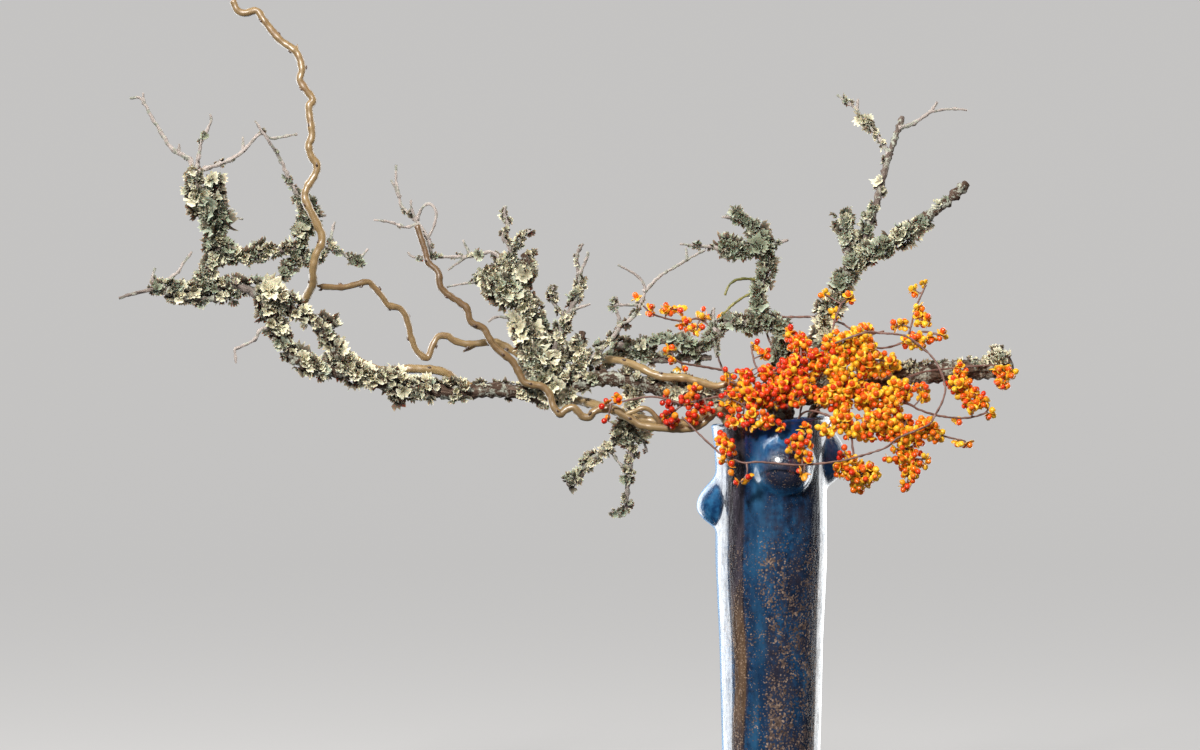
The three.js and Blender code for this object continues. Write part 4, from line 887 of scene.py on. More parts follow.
bark = Finish("dead_bark", Roughness=0.88, Specular_IOR_Level=0.25)
here = bark.place()
grain = bark.stretched(bark.mark("grain").outputs["Vector"], (2.2, 2.2, 1))
lines = bark.cloud(grain, 2.6, 6, 0.65)
limb_bark = bark.steps(lines, [
    (0.32, (0.022, 0.013, 0.009)), (0.5, (0.085, 0.050, 0.034)), (0.68, (0.23, 0.16, 0.12)),
])
twig_skin = bark.steps(lines, [
    (0.28, (0.22, 0.15, 0.125)), (0.44, (0.47, 0.39, 0.35)), (0.60, (0.68, 0.61, 0.56)),
])
bare_wood = bark.mix(bark.mark("twig").outputs["Fac"], limb_bark, twig_skin)
crust = bark.mottled(here, 120, [(0.51, 0.0), (0.57, 1.0)], 6, 0.7)
crust_colour = bark.mottled(here, 420, [(0.35, (0.26, 0.26, 0.21)), (0.65, (0.56, 0.57, 0.47))])
bark.feed("Base Color", bark.mix(crust, bare_wood, crust_colour))
furrows = bark.mix(0.4, lines, bark.cloud(here, 500, 4, 0.7))
bark.relief(furrows, 0.0022, 0.9)

# The two shoots that curl out of the arched branch are still green.
green = Finish("green_shoot", Roughness=0.45)
green.feed("Base Color", green.mottled(green.place(), 90, [
    (0.4, (0.115, 0.115, 0.030)), (0.6, (0.30, 0.26, 0.075)),
]))

long_limbs = LONG_BRANCH + LEFT_COLUMN + TUFT + SIDE_TWIGS
for name, limbs, seed, finish, node in (
    ("long_branch_wood", long_limbs, 41, bark, "lichen_branch_long"),
    ("arch_branch_wood", ARCH_BRANCH, 42, bark, "lichen_branch_arch"),
    ("arch_shoots", GREEN_SHOOTS, 44, green, "lichen_branch_arch"),
    ("fork_branch_wood", FORK_BRANCH, 43, bark, "lichen_branch_fork"),
):
    wood = branch_wood(limbs, seed).piece(name, finish)
    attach(wood, "root")
    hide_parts(node)


# Lichen: leafy grey-green rosettes that grow flat on the bark and curl up at their ruffled edges.
# They are thin and brittle, pale on top and dark beneath, and they held on when the limbs died.
LOBES_IN_ROSETTE = 4
LOBE_THICKNESS = 0.8
# One lobe from above: how far out and how far across, in shares of its reach, round its frilled edge.
LOBE_EDGE = [
    (0.0, 0.0), (0.35, -0.27), (0.70, -0.54), (0.97, -0.42), (0.85, -0.16), (1.07, 0.05),
    (0.84, 0.20), (0.96, 0.47), (0.66, 0.52), (0.33, 0.25),
]


def lobes(bundle, root, out, face, reach, width, curl, tone, random):
    """Many lobes at once: each grows out of its root as a shallow frilled cup, with its hollow
    turned to one side, and is thickest in its middle."""
    many, rim = len(root), len(LOBE_EDGE)
    across = np.cross(out, face)
    points = []
    for number, (far, side) in enumerate(LOBE_EDGE):
        ragged = random.uniform(-0.09, 0.09, (2, many)) * (far > 0)
        frill = random.normal(0, 0.10, many) * far + (0.07 if number % 2 else -0.05) * far
        rise = curl * far ** 2 + 0.5 * side ** 2 + frill
        sideways = (side + ragged[1]) * width
        points.append(root + out * (reach * (far + ragged[0]))[:, None] + across * sideways[:, None]
                      + face * (reach * rise)[:, None])
    hollow = root + out * (reach * 0.58)[:, None] + face * (reach * (curl * 0.34 - 0.07))[:, None]
    points += [hollow, hollow - face * LOBE_THICKNESS]
    edges = [(k, (k + 1) % rim) for k in range(rim)]
    pattern = [(a, b, rim) for a, b in edges] + [(b, a, rim + 1) for a, b in edges]
    size = rim + 2
    faces = [tuple(corner + size * i for corner in face) for i in range(many) for face in pattern]
    # The root and the cup's hollow get low edge values, which the lichen's material turns into painted shade.
    edge = [0.1 + 0.9 * far for far, _ in LOBE_EDGE] + [0.3, 0.3]
    below = [0] * rim + [1] * rim
    bundle.add(np.stack(points, axis=1).reshape(-1, 3), faces, {
        "edge": np.tile(edge, many), "below": np.tile(below, many), "tone": np.repeat(tone, size),
    })


def noise_at(places, size, shift):
    """Noise between about -1 and 1 at each place, in lumps of about the size given."""
    return np.array([noise.noise(Vector(place) / size + Vector(shift)) for place in places])


# None grows below this height inside this radius, where the limbs stand in the vase.
LOWEST = 452
CLEAR_OF_MOUTH = 75
# The share of rosettes that are broad, lie flatter and reach further out.
BROAD_SHARE = 0.09
BROAD_REACH = 1.55


def lichen_on(limbs, seed, crowding, shaded, pale, leafy):
    """Rosettes of lobes all over the limbs. They heap up in some places and leave bark bare in others,
    and grow less on the underside."""
    bundle = Bundle()
    random = np.random.default_rng(seed)
    for (start, end), cover, points in limbs:
        if not any(cover):
            continue
        path = Path(points, 2.0)
        # Places tried all over the skin, and how much the lichen likes each of them.
        area = 2 * np.pi * ((start + end) / 2 + 1.5) * path.length
        wanted = int(area * crowding * max(cover))
        along = random.uniform(0, path.length, wanted)
        turn = random.uniform(0, 2 * np.pi, wanted)
        centre, ahead, out = path.at(along, turn)
        local = np.interp(along / path.length, np.linspace(0, 1, len(cover)), cover)
        local = local * np.clip(1 + shaded * (out[:, 2] - 0.3), 0, 1.1)
        radius = path.taper(start, end, along)
        skin = centre + out * radius[:, None]
        lump = noise_at(skin, 20, (0, 0, seed))
        coarse = noise_at(skin, 11, (seed, 0, 0))
        patch = 0.5 + 0.5 * lump + 0.5 * coarse + 0.3 * noise_at(skin, 5, (0, seed, 0))
        bare = (centre[:, 2] < LOWEST) & (np.hypot(centre[:, 0], centre[:, 1]) < CLEAR_OF_MOUTH)
        kept = (random.uniform(0, 1, wanted) < (local * 1.25 + 0.25 - 1.5 * patch) / max(cover)) & ~bare
        if not kept.any():
            continue
        # On the places that are left: how high the rosettes are heaped, how large they are, how pale.
        centre, ahead, out, radius = centre[kept], ahead[kept], out[kept], radius[kept]
        local, lump, coarse = local[kept], lump[kept], coarse[kept]
        many = len(centre)
        around = np.cross(ahead, out)
        heap = np.clip(local - 0.3, 0, 1) * np.clip(0.4 - 1.4 * lump - 0.8 * coarse, 0, 1.3)
        heap = heap * (2.5 + 0.75 * radius)
        broad = random.uniform(0, 1, many) < BROAD_SHARE
        height = heap * np.where(broad, 1, random.uniform(0, 1, many) ** 0.6)
        size = np.clip(2.4 + 0.5 * radius, 2.6, 6.2) * random.uniform(0.6, 1.25, many) * (0.8 + 0.3 * local)
        size = leafy * size * np.where(broad, BROAD_REACH, 1)
        tone = pale + 0.6 * coarse + random.normal(0, 0.13, many) + 0.08 * broad
        aim = random.uniform(0, 2 * np.pi, many)
        foot = centre + out * (radius * core(cover) - 0.8 + height)[:, None]
        # Their lobes spread from the middle in all directions, and rise from the bark.
        for k in range(LOBES_IN_ROSETTE):
            turn_to = aim + 2 * np.pi * k / LOBES_IN_ROSETTE + random.uniform(-0.5, 0.5, many)
            lift = (random.uniform(0.05, 0.85, many) + 0.2 * (height > 1.5)) * np.where(broad, 0.45, 1)
            flat = ahead * np.cos(turn_to)[:, None] + around * np.sin(turn_to)[:, None]
            grow = flat * np.cos(lift)[:, None] + out * np.sin(lift)[:, None]
            face = out * np.cos(lift)[:, None] - flat * np.sin(lift)[:, None]
            reach = size * random.uniform(0.6, 1.3, many)
            lobes(bundle, foot, grow, face, reach, reach * random.uniform(0.75, 1.3, many),
                  random.uniform(0, 0.6, many), tone, random)
    return bundle


lichen = Finish("leafy_lichen", Roughness=0.9, Specular_IOR_Level=0.2,
                Subsurface_Weight=0.1, Subsurface_Scale=0.0015)
here = lichen.place()
tone = lichen.mark("tone").outputs["Fac"]
edge = lichen.mark("edge").outputs["Fac"]
below = lichen.mark("below").outputs["Fac"]
patch = lichen.plus(tone, lichen.times(lichen.cloud(here, 20), 1.1))
skin = lichen.steps(lichen.minus(patch, 0.5), [
    (0.05, (0.36, 0.40, 0.30)), (0.25, (0.50, 0.56, 0.47)), (0.42, (0.74, 0.72, 0.57)),
    (0.60, (0.92, 0.86, 0.67)), (0.85, (1.0, 0.94, 0.73)),
])
# Each lobe is painted darker towards its root and in the hollow of its cup, as painted shade, and paler
# towards its frilled rim.
rim = lichen.steps(edge, [(0.1, (0.18, 0.16, 0.12)), (0.5, (0.74, 0.73, 0.66)), (1.0, (1.18, 1.17, 1.12))])
top = lichen.mix(1.0, skin, rim, "MULTIPLY")
mottle = lichen.mottled(here, 700, [(0.3, 0.75), (0.7, 1.12)], 4)
top = lichen.mix(1.0, top, mottle, "MULTIPLY")
under = lichen.steps(edge, [
    (0.3, (0.035, 0.026, 0.018)), (0.8, (0.20, 0.18, 0.13)), (1.0, (0.58, 0.55, 0.44)),
])
lichen.feed("Base Color", lichen.mix(below, top, under))
lichen.relief(lichen.cloud(here, 1000, 4), 0.0006, 0.6)

# Each heap: the limbs that it grows on, its seed, how many rosettes a square millimetre of skin
# carries, how much the underside lacks, how pale and how large-leaved it is, and its node. The stub on
# the right is bare but for its top.
trunk, stub, *arm = LONG_BRANCH
for name, limbs, seed, crowding, shaded, pale, leafy, node in (
    ("long_branch_lichen", [trunk, *arm], 51, 0.036, 0.3, 0.55, 1, "lichen_branch_long"),
    ("stub_lichen", [stub], 57, 0.085, 3, 0.55, 0.6, "lichen_branch_long"),
    ("left_column_lichen", LEFT_COLUMN, 52, 0.062, 0.1, 0.34, 1, "lichen_branch_long"),
    ("tuft_lichen", TUFT, 53, 0.052, 0.1, 0.51, 1, "lichen_branch_long"),
    ("side_twig_lichen", SIDE_TWIGS, 54, 0.050, 0.2, 0.40, 1, "lichen_branch_long"),
    # The arch's and the fork's heaps are toned darker and greener, partly as painted shade.
    ("arch_branch_lichen", ARCH_BRANCH, 55, 0.054, 0.2, 0.0, 1, "lichen_branch_arch"),
    ("fork_branch_lichen", FORK_BRANCH, 56, 0.058, 0.2, 0.37, 1, "lichen_branch_fork"),
):
    growth = lichen_on(limbs, seed, crowding, shaded, pale, leafy).piece(name, lichen, 100)
    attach(growth, "root")
    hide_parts(node)


# Willow: three peeled, contorted stems with smooth tan wood. They leave the mouth over the left side
# of the rim and lie along the long branch. Small buds sit on swollen joints, on one side and the other.
TALL_WILLOW = [
    ((4.6, 3), [
        (-30, -18, 200), (-38, -19, 380), (-40, -19, 415), (-43, -19, 434), (-52, -20, 447),
        (-62, -21, 446), (-74, -23, 437), (-90, -25, 436), (-113, -25, 438), (-141, -22, 443),
        (-155, -14, 449), (-168, -4, 453), (-179, 4, 456), (-190, 12, 459), (-201, 17, 461),
        (-225, 20, 463), (-260, 20, 468), (-306, 18, 475), (-321, 13, 484), (-331, 10, 489),
        (-351, 8, 491), (-369, 9, 491), (-380, 12, 489), (-398, 16, 492), (-422, 18, 505),
        (-446, 17, 528), (-462, 10, 546), (-467, 2, 557), (-463, -10, 566), (-458, -20, 577),
        (-458, -27, 590), (-455, -30, 605), (-450, -31, 615), (-449, -31, 625), (-455, -31, 638),
        (-461, -31, 650), (-466, -30, 662), (-464, -29, 672), (-456, -28, 685), (-454, -28, 695),
        (-460, -28, 704), (-462, -28, 715), (-459, -28, 725), (-462, -26, 752), (-458, -25, 760),
        (-465, -24, 770), (-471, -23, 780), (-469, -22, 792), (-475, -20, 808), (-491, -16, 820),
        (-506, -13, 838), (-514, -11, 849), (-525, -10, 847), (-533, -9, 849), (-538, -8, 859)
    ]),
    ((1.6, 1.2), [
        (-473, -20, 806), (-474, -20, 816)
    ]),
]
MIDDLE_WILLOW = [
    ((4, 3), [
        (-24, -30, 240), (-29, -31, 380), (-33, -30, 415), (-37, -29, 436), (-44, -31, 449),
        (-54, -33, 449), (-72, -35, 434), (-91, -36, 431), (-126, -36, 434), (-137, -35, 439),
        (-154, -34, 449), (-166, -33, 451), (-176, -32, 449), (-182, -31, 443), (-189, -31, 444),
        (-197, -31, 452), (-204, -31, 451), (-211, -31, 446), (-218, -30, 454), (-221, -29, 465),
        (-228, -29, 473), (-237, -29, 475), (-247, -29, 478), (-252, -29, 487), (-258, -29, 498),
        (-266, -30, 505), (-276, -30, 513), (-282, -31, 522), (-288, -31, 532), (-300, -32, 538),
        (-304, -32, 551), (-311, -32, 557), (-325, -32, 567), (-331, -32, 575), (-333, -31, 588),
        (-343, -29, 598), (-346, -28, 610), (-354, -26, 634)
    ]),
    ((2.4, 2.4), [
        (-147, -35, 445), (-136, -37, 449), (-128, -38, 452), (-119, -37, 448), (-108, -36, 432)
    ]),
]
LOW_WILLOW = [
    ((4.2, 2), [
        (-14, -18, 240), (-20, -20, 380), (-20, -20, 430), (-22, -19, 460), (-31, -18, 474),
        (-44, -17, 476), (-56, -17, 474), (-71, -17, 478), (-86, -17, 482), (-106, -17, 483),
        (-118, -15, 486), (-132, -8, 493), (-150, 4, 499), (-168, 14, 501), (-190, 20, 502),
        (-246, 26, 504), (-256, 26, 508), (-266, 26, 514), (-276, 25, 518), (-303, 23, 516),
        (-316, 22, 519), (-324, 21, 524), (-333, 19, 523), (-339, 17, 513), (-344, 16, 502),
        (-354, 15, 509), (-360, 14, 523), (-362, 13, 533), (-366, 12, 545), (-372, 11, 552),
        (-383, 9, 555), (-388, 8, 562), (-398, 6, 574), (-405, 4, 578), (-426, 0, 573),
        (-441, -4, 573), (-454, -8, 574)
    ]),
    ((1.8, 1.3), [
        (-290, 24, 517), (-308, 26, 508)
    ]),
]
# Length of a stem inside the vase, and the way past the rim over which it grows stouter. It has a
# joint every so often, which swells it by a share over a short way on either side.
LENGTH_INSIDE = 245
STOUTER_OVER = 60
JOINTS_APART = 21
JOINT_SWELLING = 0.10
JOINT_REACH = 2.6
ROUND_THE_STEM = 12

peeled = Finish("peeled_willow", Roughness=0.5, Coat_Weight=0.8, Coat_IOR=1.75, Coat_Roughness=0.32)
grain = peeled.stretched(peeled.mark("grain").outputs["Vector"], (2.4, 2.4, 0.8))
fibres = peeled.cloud(grain, 2.2, 5, 0.6)
age = peeled.mark("age").outputs["Fac"]
aged = peeled.plus(age, peeled.times(peeled.minus(fibres, 0.5), 0.9))
wood = peeled.steps(aged, [
    (0.0, (0.44, 0.305, 0.135)), (0.28, (0.33, 0.215, 0.090)), (0.6, (0.19, 0.11, 0.047)),
    (0.95, (0.08, 0.04, 0.025)),
])
stain = peeled.mottled(peeled.place(), 70, [(0.56, 0.0), (0.68, 0.55)], 4)
peeled.feed("Base Color", peeled.mix(stain, wood, (0.22, 0.12, 0.06)))
peeled.relief(fibres, 0.0007, 0.35)


def add_bud(bundle, foot, ahead, out):
    """A small bud that lies close along the stem and points to its tip."""
    bud = Path([foot, foot + ahead * 1.8 + out * 1.3, foot + ahead * 4.2 + out * 1.7], 0.8, drawn=False)
    radii = np.interp(bud.along, [0, bud.length * 0.4, bud.length], [1.1, 1.35, 0.35])
    tube(bundle, bud, radii, 8, age=0.95)


def willow_stem(name, node, limbs, ages, stouter, seed):
    """One stem, aged from its foot to its tip. Past the rim it is stouter than its listed radii, by one
    share there and another at its tip."""
    bundle = Bundle()
    random = np.random.default_rng(seed)
    for (start, end), points in limbs:
        path = Path(points, 2.0)
        past_the_rim = np.clip((path.along - LENGTH_INSIDE) / STOUTER_OVER, 0, 1)
        extra = np.interp(path.along, [LENGTH_INSIDE, path.length], stouter)
        radii = path.taper(start * 0.97, end * 0.97) * (1 + past_the_rim * extra)
        joints = np.arange(12 + 9 * random.random(), path.length - 4, JOINTS_APART) + random.uniform(-4, 4)
        for joint in joints:
            radii = radii * (1 + JOINT_SWELLING * np.exp(-((path.along - joint) / JOINT_REACH) ** 2))
        thin = np.minimum(1, 0.35 + (path.length - path.along) / 9) if end < 2.5 else 1
        share = np.concatenate([[0], path.along / path.length, [1]])
        age = np.append(np.repeat(ages[0] + (ages[1] - ages[0]) * share, ROUND_THE_STEM), ages)
        tube(bundle, path, radii * thin, ROUND_THE_STEM, 0.06, random, age=age)
        turn = random.uniform(0, 6.28)
        for joint in joints[joints > path.length * (0.4 if start > 3 else 0)]:
            turn += math.pi + random.uniform(-0.5, 0.5)
            centre, ahead, out = (v[0] for v in path.at(np.array([joint]), np.array([turn])))
            add_bud(bundle, centre + out * np.interp(joint, path.along, radii) * 0.7, ahead, out)
    stem = bundle.piece(name, peeled)
    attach(stem, "root")
    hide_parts(node)


willow_stem("willow_tall_stem", "willow_tall", TALL_WILLOW, (0.05, 0.42), (0.18, 0.27), 61)
willow_stem("willow_middle_stem", "willow_middle", MIDDLE_WILLOW, (0.0, 0.7), (0.18, 0.15), 62)
willow_stem("willow_low_stem", "willow_low", LOW_WILLOW, (0.0, 0.5), (0.22, 0.55), 63)


# Bittersweet: thin twining vines, cut in late autumn. Each fruit is a yellow husk that splits into
# three and folds back from a glossy red-orange berry. Some husks are still shut, and some have dropped.
VINES = {
    "left": {
        "stems": [
            [
                (-10, -30, 300), (-12, -34, 400), (-16, -35, 440), (-24, -37, 458),
                (-45, -40, 464), (-70, -42, 460), (-88, -42, 455), (-100, -43, 446)
            ],
            [
                (-88, -42, 455), (-105, -44, 461), (-125, -45, 463), (-160, -45, 456)
            ],
        ],
        "clusters": [
            (-76, -44, 471, 5), (-63, -46, 452, 6), (-104, -42, 460, 8), (-101, -43, 441, 12),
            (-81, -42, 461, 10), (-71, -43, 453, 8),
            (-79, -44, 442, 6), (-56, -45, 447, 5), (-166, -44, 456, 4), (-153, -45, 461, 4),
            (-163, -45, 441, 4)
        ],
    },
    "front": {
        "stems": [
            [
                (12, 42, 300), (12, 44, 400), (12, 46, 440), (10, 47, 465), (8, 45, 490),
                (0, 42, 515), (-5, 38, 533), (4, 38, 542), (24, 39, 543), (44, 38, 543),
                (60, 37, 540), (72, 26, 536), (80, 8, 531), (90, -18, 528), (109, -33, 527),
                (134, -37, 524), (154, -41, 510), (166, -45, 496), (174, -50, 475), (172, -56, 460),
                (164, -63, 445), (157, -68, 435), (127, -76, 422), (114, -79, 412), (89, -81, 404),
                (69, -82, 399), (29, -84, 395), (-11, -83, 398), (-26, -79, 397), (-36, -75, 400),
                (-49, -69, 405), (-59, -62, 414), (-71, -56, 425), (-89, -50, 443)
            ],
            [
                (109, -33, 527), (98, -36, 528), (86, -38, 525), (64, -38, 517)
            ],
        ],
        "clusters": [
            (-49, -66, 420, 8), (-42, -72, 413, 10), (-50, -72, 400, 4), (-41, -78, 392, 4),
            (-24, -82, 386, 4), (-30, -80, 378, 4), (32, -84, 403, 8), (29, -80, 416, 12),
            (33, -86, 389, 4), (74, -78, 405, 8)
        ],
    },
    "crown": {
        "stems": [
            [
                (0, -24, 300), (2, -27, 400), (4, -27, 440), (2, -28, 460), (-6, -29, 480),
                (-16, -24, 496), (-20, -14, 514)
            ],
            [
                (2, -28, 460), (14, -34, 478), (26, -34, 492), (30, -26, 510), (24, -14, 524)
            ],
            [
                (3, -27, 450), (-14, -40, 460), (-30, -47, 456)
            ],
        ],
        "clusters": [
            (-20, -64, 447, 9), (-6, -67, 440, 10), (7, -68, 434, 6), (-22, -67, 435, 5), (-38, -64, 437, 6),
            (-43, -44, 462, 9), (34, -46, 473, 12), (27, -54, 461, 9), (-41, -30, 485, 8),
            (-26, -32, 474, 14), (-16, -42, 462, 17), (-28, -48, 444, 14),
            (0, -46, 455, 17), (10, -40, 472, 14), (4, -54, 441, 10), (-1, -33, 487, 10),
            (-16, -16, 515, 5), (-6, -22, 505, 6), (19, -8, 526, 8), (29, -16, 514, 14),
            (24, -34, 490, 17), (42, -34, 497, 13)
        ],
    },
    "high_right": {
        "stems": [
            [
                (22, -20, 300), (24, -22, 400), (28, -22, 440), (34, -23, 462), (50, -21, 485),
                (66, -16, 502), (88, -12, 514), (112, -10, 512), (132, -10, 518), (139, -10, 530),
                (144, -11, 550), (149, -12, 562), (155, -12, 575)
            ],
            [
                (66, -16, 502), (61, -8, 522), (64, 0, 540), (70, 4, 556)
            ],
            [
                (88, -12, 514), (100, -6, 525), (113, -3, 529)
            ],
            [
                (134, -10, 521), (152, -13, 528), (169, -14, 525)
            ],
        ],
        "clusters": [
            (104, -30, 488, 9), (86, -34, 484, 10), (158, -14, 523, 6), (69, -22, 512, 17),
            (89, -12, 520, 13), (94, -26, 500, 17), (119, -20, 497, 12),
            (67, -34, 490, 14), (95, -5, 532, 6), (129, -8, 535, 8), (152, -13, 540, 10),
            (144, -13, 519, 12), (170, -14, 525, 6), (147, -12, 550, 6), (155, -12, 577, 3),
            (145, -10, 569, 4), (54, 6, 566, 4), (78, 6, 562, 5), (65, 4, 546, 4)
        ],
    },
    "middle_right": {
        "stems": [
            [
                (30, -25, 300), (33, -28, 400), (38, -31, 440), (50, -36, 453), (70, -40, 461),
                (95, -42, 464), (122, -34, 476), (149, -20, 487), (174, -14, 491), (204, -12, 494),
                (229, -12, 494), (236, -13, 486)
            ],
            [
                (95, -42, 464), (134, -40, 457), (149, -38, 450), (169, -34, 444), (194, -30, 442),
                (214, -28, 447), (218, -27, 456)
            ],
        ],
        "clusters": [
            (74, -44, 467, 17), (57, -48, 461, 13), (99, -48, 462, 17), (119, -47, 456, 16),
            (129, -40, 470, 12), (151, -36, 468, 9), (189, -16, 489, 8), (186, -24, 475, 12),
            (199, -26, 464, 12), (210, -28, 458, 7), (200, -30, 453, 6), (220, -28, 447, 5),
            (187, -30, 441, 4), (234, -14, 488, 10), (231, -16, 477, 6)
        ],
    },
    "low_right": {
        "stems": [
            [
                (20, -34, 300), (22, -38, 400), (27, -43, 440), (40, -50, 449), (58, -59, 444),
                (80, -63, 434), (105, -62, 428), (130, -58, 427), (149, -54, 430), (172, -50, 424),
                (194, -47, 419)
            ],
            [
                (80, -63, 434), (81, -65, 418), (84, -66, 400), (90, -66, 382)
            ],
            [
                (130, -58, 427), (136, -58, 408), (140, -57, 392), (136, -57, 377)
            ],
        ],
        "clusters": [
            (72, -64, 437, 13), (92, -65, 431, 14), (109, -60, 440, 14), (119, -61, 429, 12),
            (134, -56, 436, 10), (140, -58, 424, 14), (154, -54, 431, 12), (165, -52, 425, 8),
            (34, -62, 431, 6), (55, -66, 429, 9), (79, -70, 391, 14), (94, -70, 385, 14),
            (88, -68, 374, 8), (133, -60, 406, 12), (140, -58, 391, 12), (151, -55, 401, 8),
            (134, -57, 375, 6), (119, -60, 401, 4), (188, -48, 415, 5), (196, -47, 418, 3)
        ],
    },
    "back_left": {
        "stems": [
            [
                (-22, 18, 300), (-28, 22, 400), (-32, 24, 440), (-40, 28, 470), (-52, 36, 500),
                (-58, 41, 528), (-72, 38, 541), (-89, 36, 539), (-116, 32, 545), (-134, 27, 560)
            ],
            [
                (-48, 34, 490), (-72, 25, 494), (-92, 10, 498), (-100, 6, 508)
            ],
        ],
        "clusters": [
            (-134, 26, 561, 5), (-121, 30, 549, 6), (-104, 34, 549, 6), (-93, 36, 551, 5),
            (-86, 36, 534, 7), (-74, 38, 531, 6), (-67, 40, 544, 7), (-48, 42, 543, 5),
            (-101, 6, 511, 5), (-99, 8, 500, 4), (-90, 11, 491, 4)
        ],
    },
}
VINE_START, VINE_END = 1.3, 0.95
SIDE_START, SIDE_END = 0.95, 0.65
STALK_START, STALK_END = 0.5, 0.62
BERRY = 3.3
SHORTEST_STALK, LONGEST_STALK = 4.5, 21
# A fruit keeps this far from the next one's middle, and its skin this far from wood and vase.
FRUITS_APART = 6.1
WOOD_GAP, VASE_GAP = 1, 1.2
# A cluster further than this from its vine hangs on a side twig.
SIDE_TWIG_FROM = 6
TRIES_IN_CLUSTER = 420
# How many fruits hang in a cluster of each spread.
FRUITS_BY_SPREAD = {17: 42, 16: 36, 14: 25, 13: 20, 12: 16, 10: 10, 9: 8, 8: 6, 7: 5, 6: 4, 5: 3, 4: 2, 3: 1}
# The shares of a vine's fruits that are open and shut, and how red they are. The rest have dropped
# their husks.
RIPENESS = {
    "left": (0.3, 0.05, 0.85), "front": (0.5, 0.14, 0.6), "crown": (0.55, 0.12, 0.6),
    "high_right": (0.62, 0.24, 0.3), "middle_right": (0.62, 0.2, 0.38), "low_right": (0.62, 0.22, 0.3),
    "back_left": (0.5, 0.3, 0.45),
}

vine_bark = Finish("vine_bark", Roughness=0.5)
lines = vine_bark.cloud(vine_bark.mark("grain").outputs["Vector"], 3.2, 4)
vine_bark.feed("Base Color", vine_bark.steps(lines, [
    (0.3, (0.09, 0.038, 0.030)), (0.5, (0.19, 0.092, 0.070)), (0.72, (0.44, 0.30, 0.25)),
]))
vine_bark.relief(lines, 0.0005, 0.5)

berry_skin = Finish("berry_skin", Roughness=0.24, Coat_Weight=0.3, Coat_Roughness=0.12,
                    Subsurface_Weight=0.2, Subsurface_Scale=0.002)
tone = berry_skin.mark("tone").outputs["Fac"]
blush = berry_skin.times(berry_skin.cloud(berry_skin.place(), 160), 0.5)
berry_skin.feed("Base Color", berry_skin.steps(berry_skin.plus(tone, blush), [
    (0.2, (0.90, 0.25, 0.012)), (0.5, (0.86, 0.13, 0.010)), (0.8, (0.80, 0.060, 0.012)),
    (1.0, (0.62, 0.028, 0.010)),
]))
berry_skin.relief(berry_skin.cloud(berry_skin.place(), 700), 0.0003, 0.25)

husk_skin = Finish("husk_skin", Roughness=0.4, Coat_Weight=0.15, Coat_Roughness=0.2,
                   Subsurface_Weight=0.15, Subsurface_Scale=0.0015)
tone = husk_skin.mark("tone").outputs["Fac"]
edge = husk_skin.mark("edge").outputs["Fac"]
fleck = husk_skin.cloud(husk_skin.place(), 420, 4)
ripe = husk_skin.steps(husk_skin.plus(tone, husk_skin.times(fleck, 0.35)), [
    (0.25, (0.94, 0.56, 0.03)), (0.55, (0.92, 0.43, 0.016)), (0.85, (0.86, 0.25, 0.010)),
])
worn = husk_skin.steps(edge, [(0.75, 0.0), (1.0, 0.55)])
husk_skin.feed("Base Color", husk_skin.mix(worn, ripe, (0.55, 0.16, 0.018)))
husk_skin.relief(fleck, 0.0004, 0.4)


def globe(rows, columns):
    """A unit ball as points and faces, its poles along Z."""
    points = [(0, 0, -1)]
    for i in range(1, rows):
        tilt = math.pi * i / rows
        for k in range(columns):
            turn = 2 * math.pi * (k + 0.5 * (i % 2)) / columns
            points.append((math.sin(tilt) * math.cos(turn), math.sin(tilt) * math.sin(turn), -math.cos(tilt)))
    points.append((0, 0, 1))
    faces = [(0, 1 + (k + 1) % columns, 1 + k) for k in range(columns)]
    for i in range(rows - 2):
        low, high = 1 + i * columns, 1 + (i + 1) * columns
        for k in range(columns):
            after = (k + 1) % columns
            if i % 2:
                faces += [(low + k, low + after, high + after), (low + k, high + after, high + k)]
            else:
                faces += [(low + k, low + after, high + k), (low + after, high + after, high + k)]
    last = 1 + (rows - 2) * columns
    faces += [(len(points) - 1, last + k, last + (k + 1) % columns) for k in range(columns)]
    return np.array(points), faces


BALL_POINTS, BALL_FACES = globe(6, 8)


def frame_on(axis, turn):
    """Three directions at right angles, the last along the axis."""
    start = np.array([1, 0, 0]) if abs(axis[0]) < 0.8 else np.array([0, 1, 0])
    side = np.cross(axis, start)
    side = side / np.linalg.norm(side)
    up = np.cross(axis, side)
    turned_side = side * math.cos(turn) + up * math.sin(turn)
    turned_up = up * math.cos(turn) - side * math.sin(turn)
    return np.stack([turned_side, turned_up, axis])


def add_ball(bundle, centre, axes, size, ribs, tip, tone):
    """A berry or shut husk: a ball with three soft ribs, and a small point at its far end."""
    turn = np.arctan2(BALL_POINTS[:, 1], BALL_POINTS[:, 0])
    flat = np.hypot(BALL_POINTS[:, 0], BALL_POINTS[:, 1])
    shape = BALL_POINTS * (1 + ribs * np.cos(3 * turn) * flat)[:, None]
    shape[:, 2] += tip * (BALL_POINTS[:, 2] > 0.99)
    points = centre + (shape * size) @ axes
    bundle.add(points, BALL_FACES, {"tone": np.full(len(points), tone), "edge": np.zeros(len(points))})


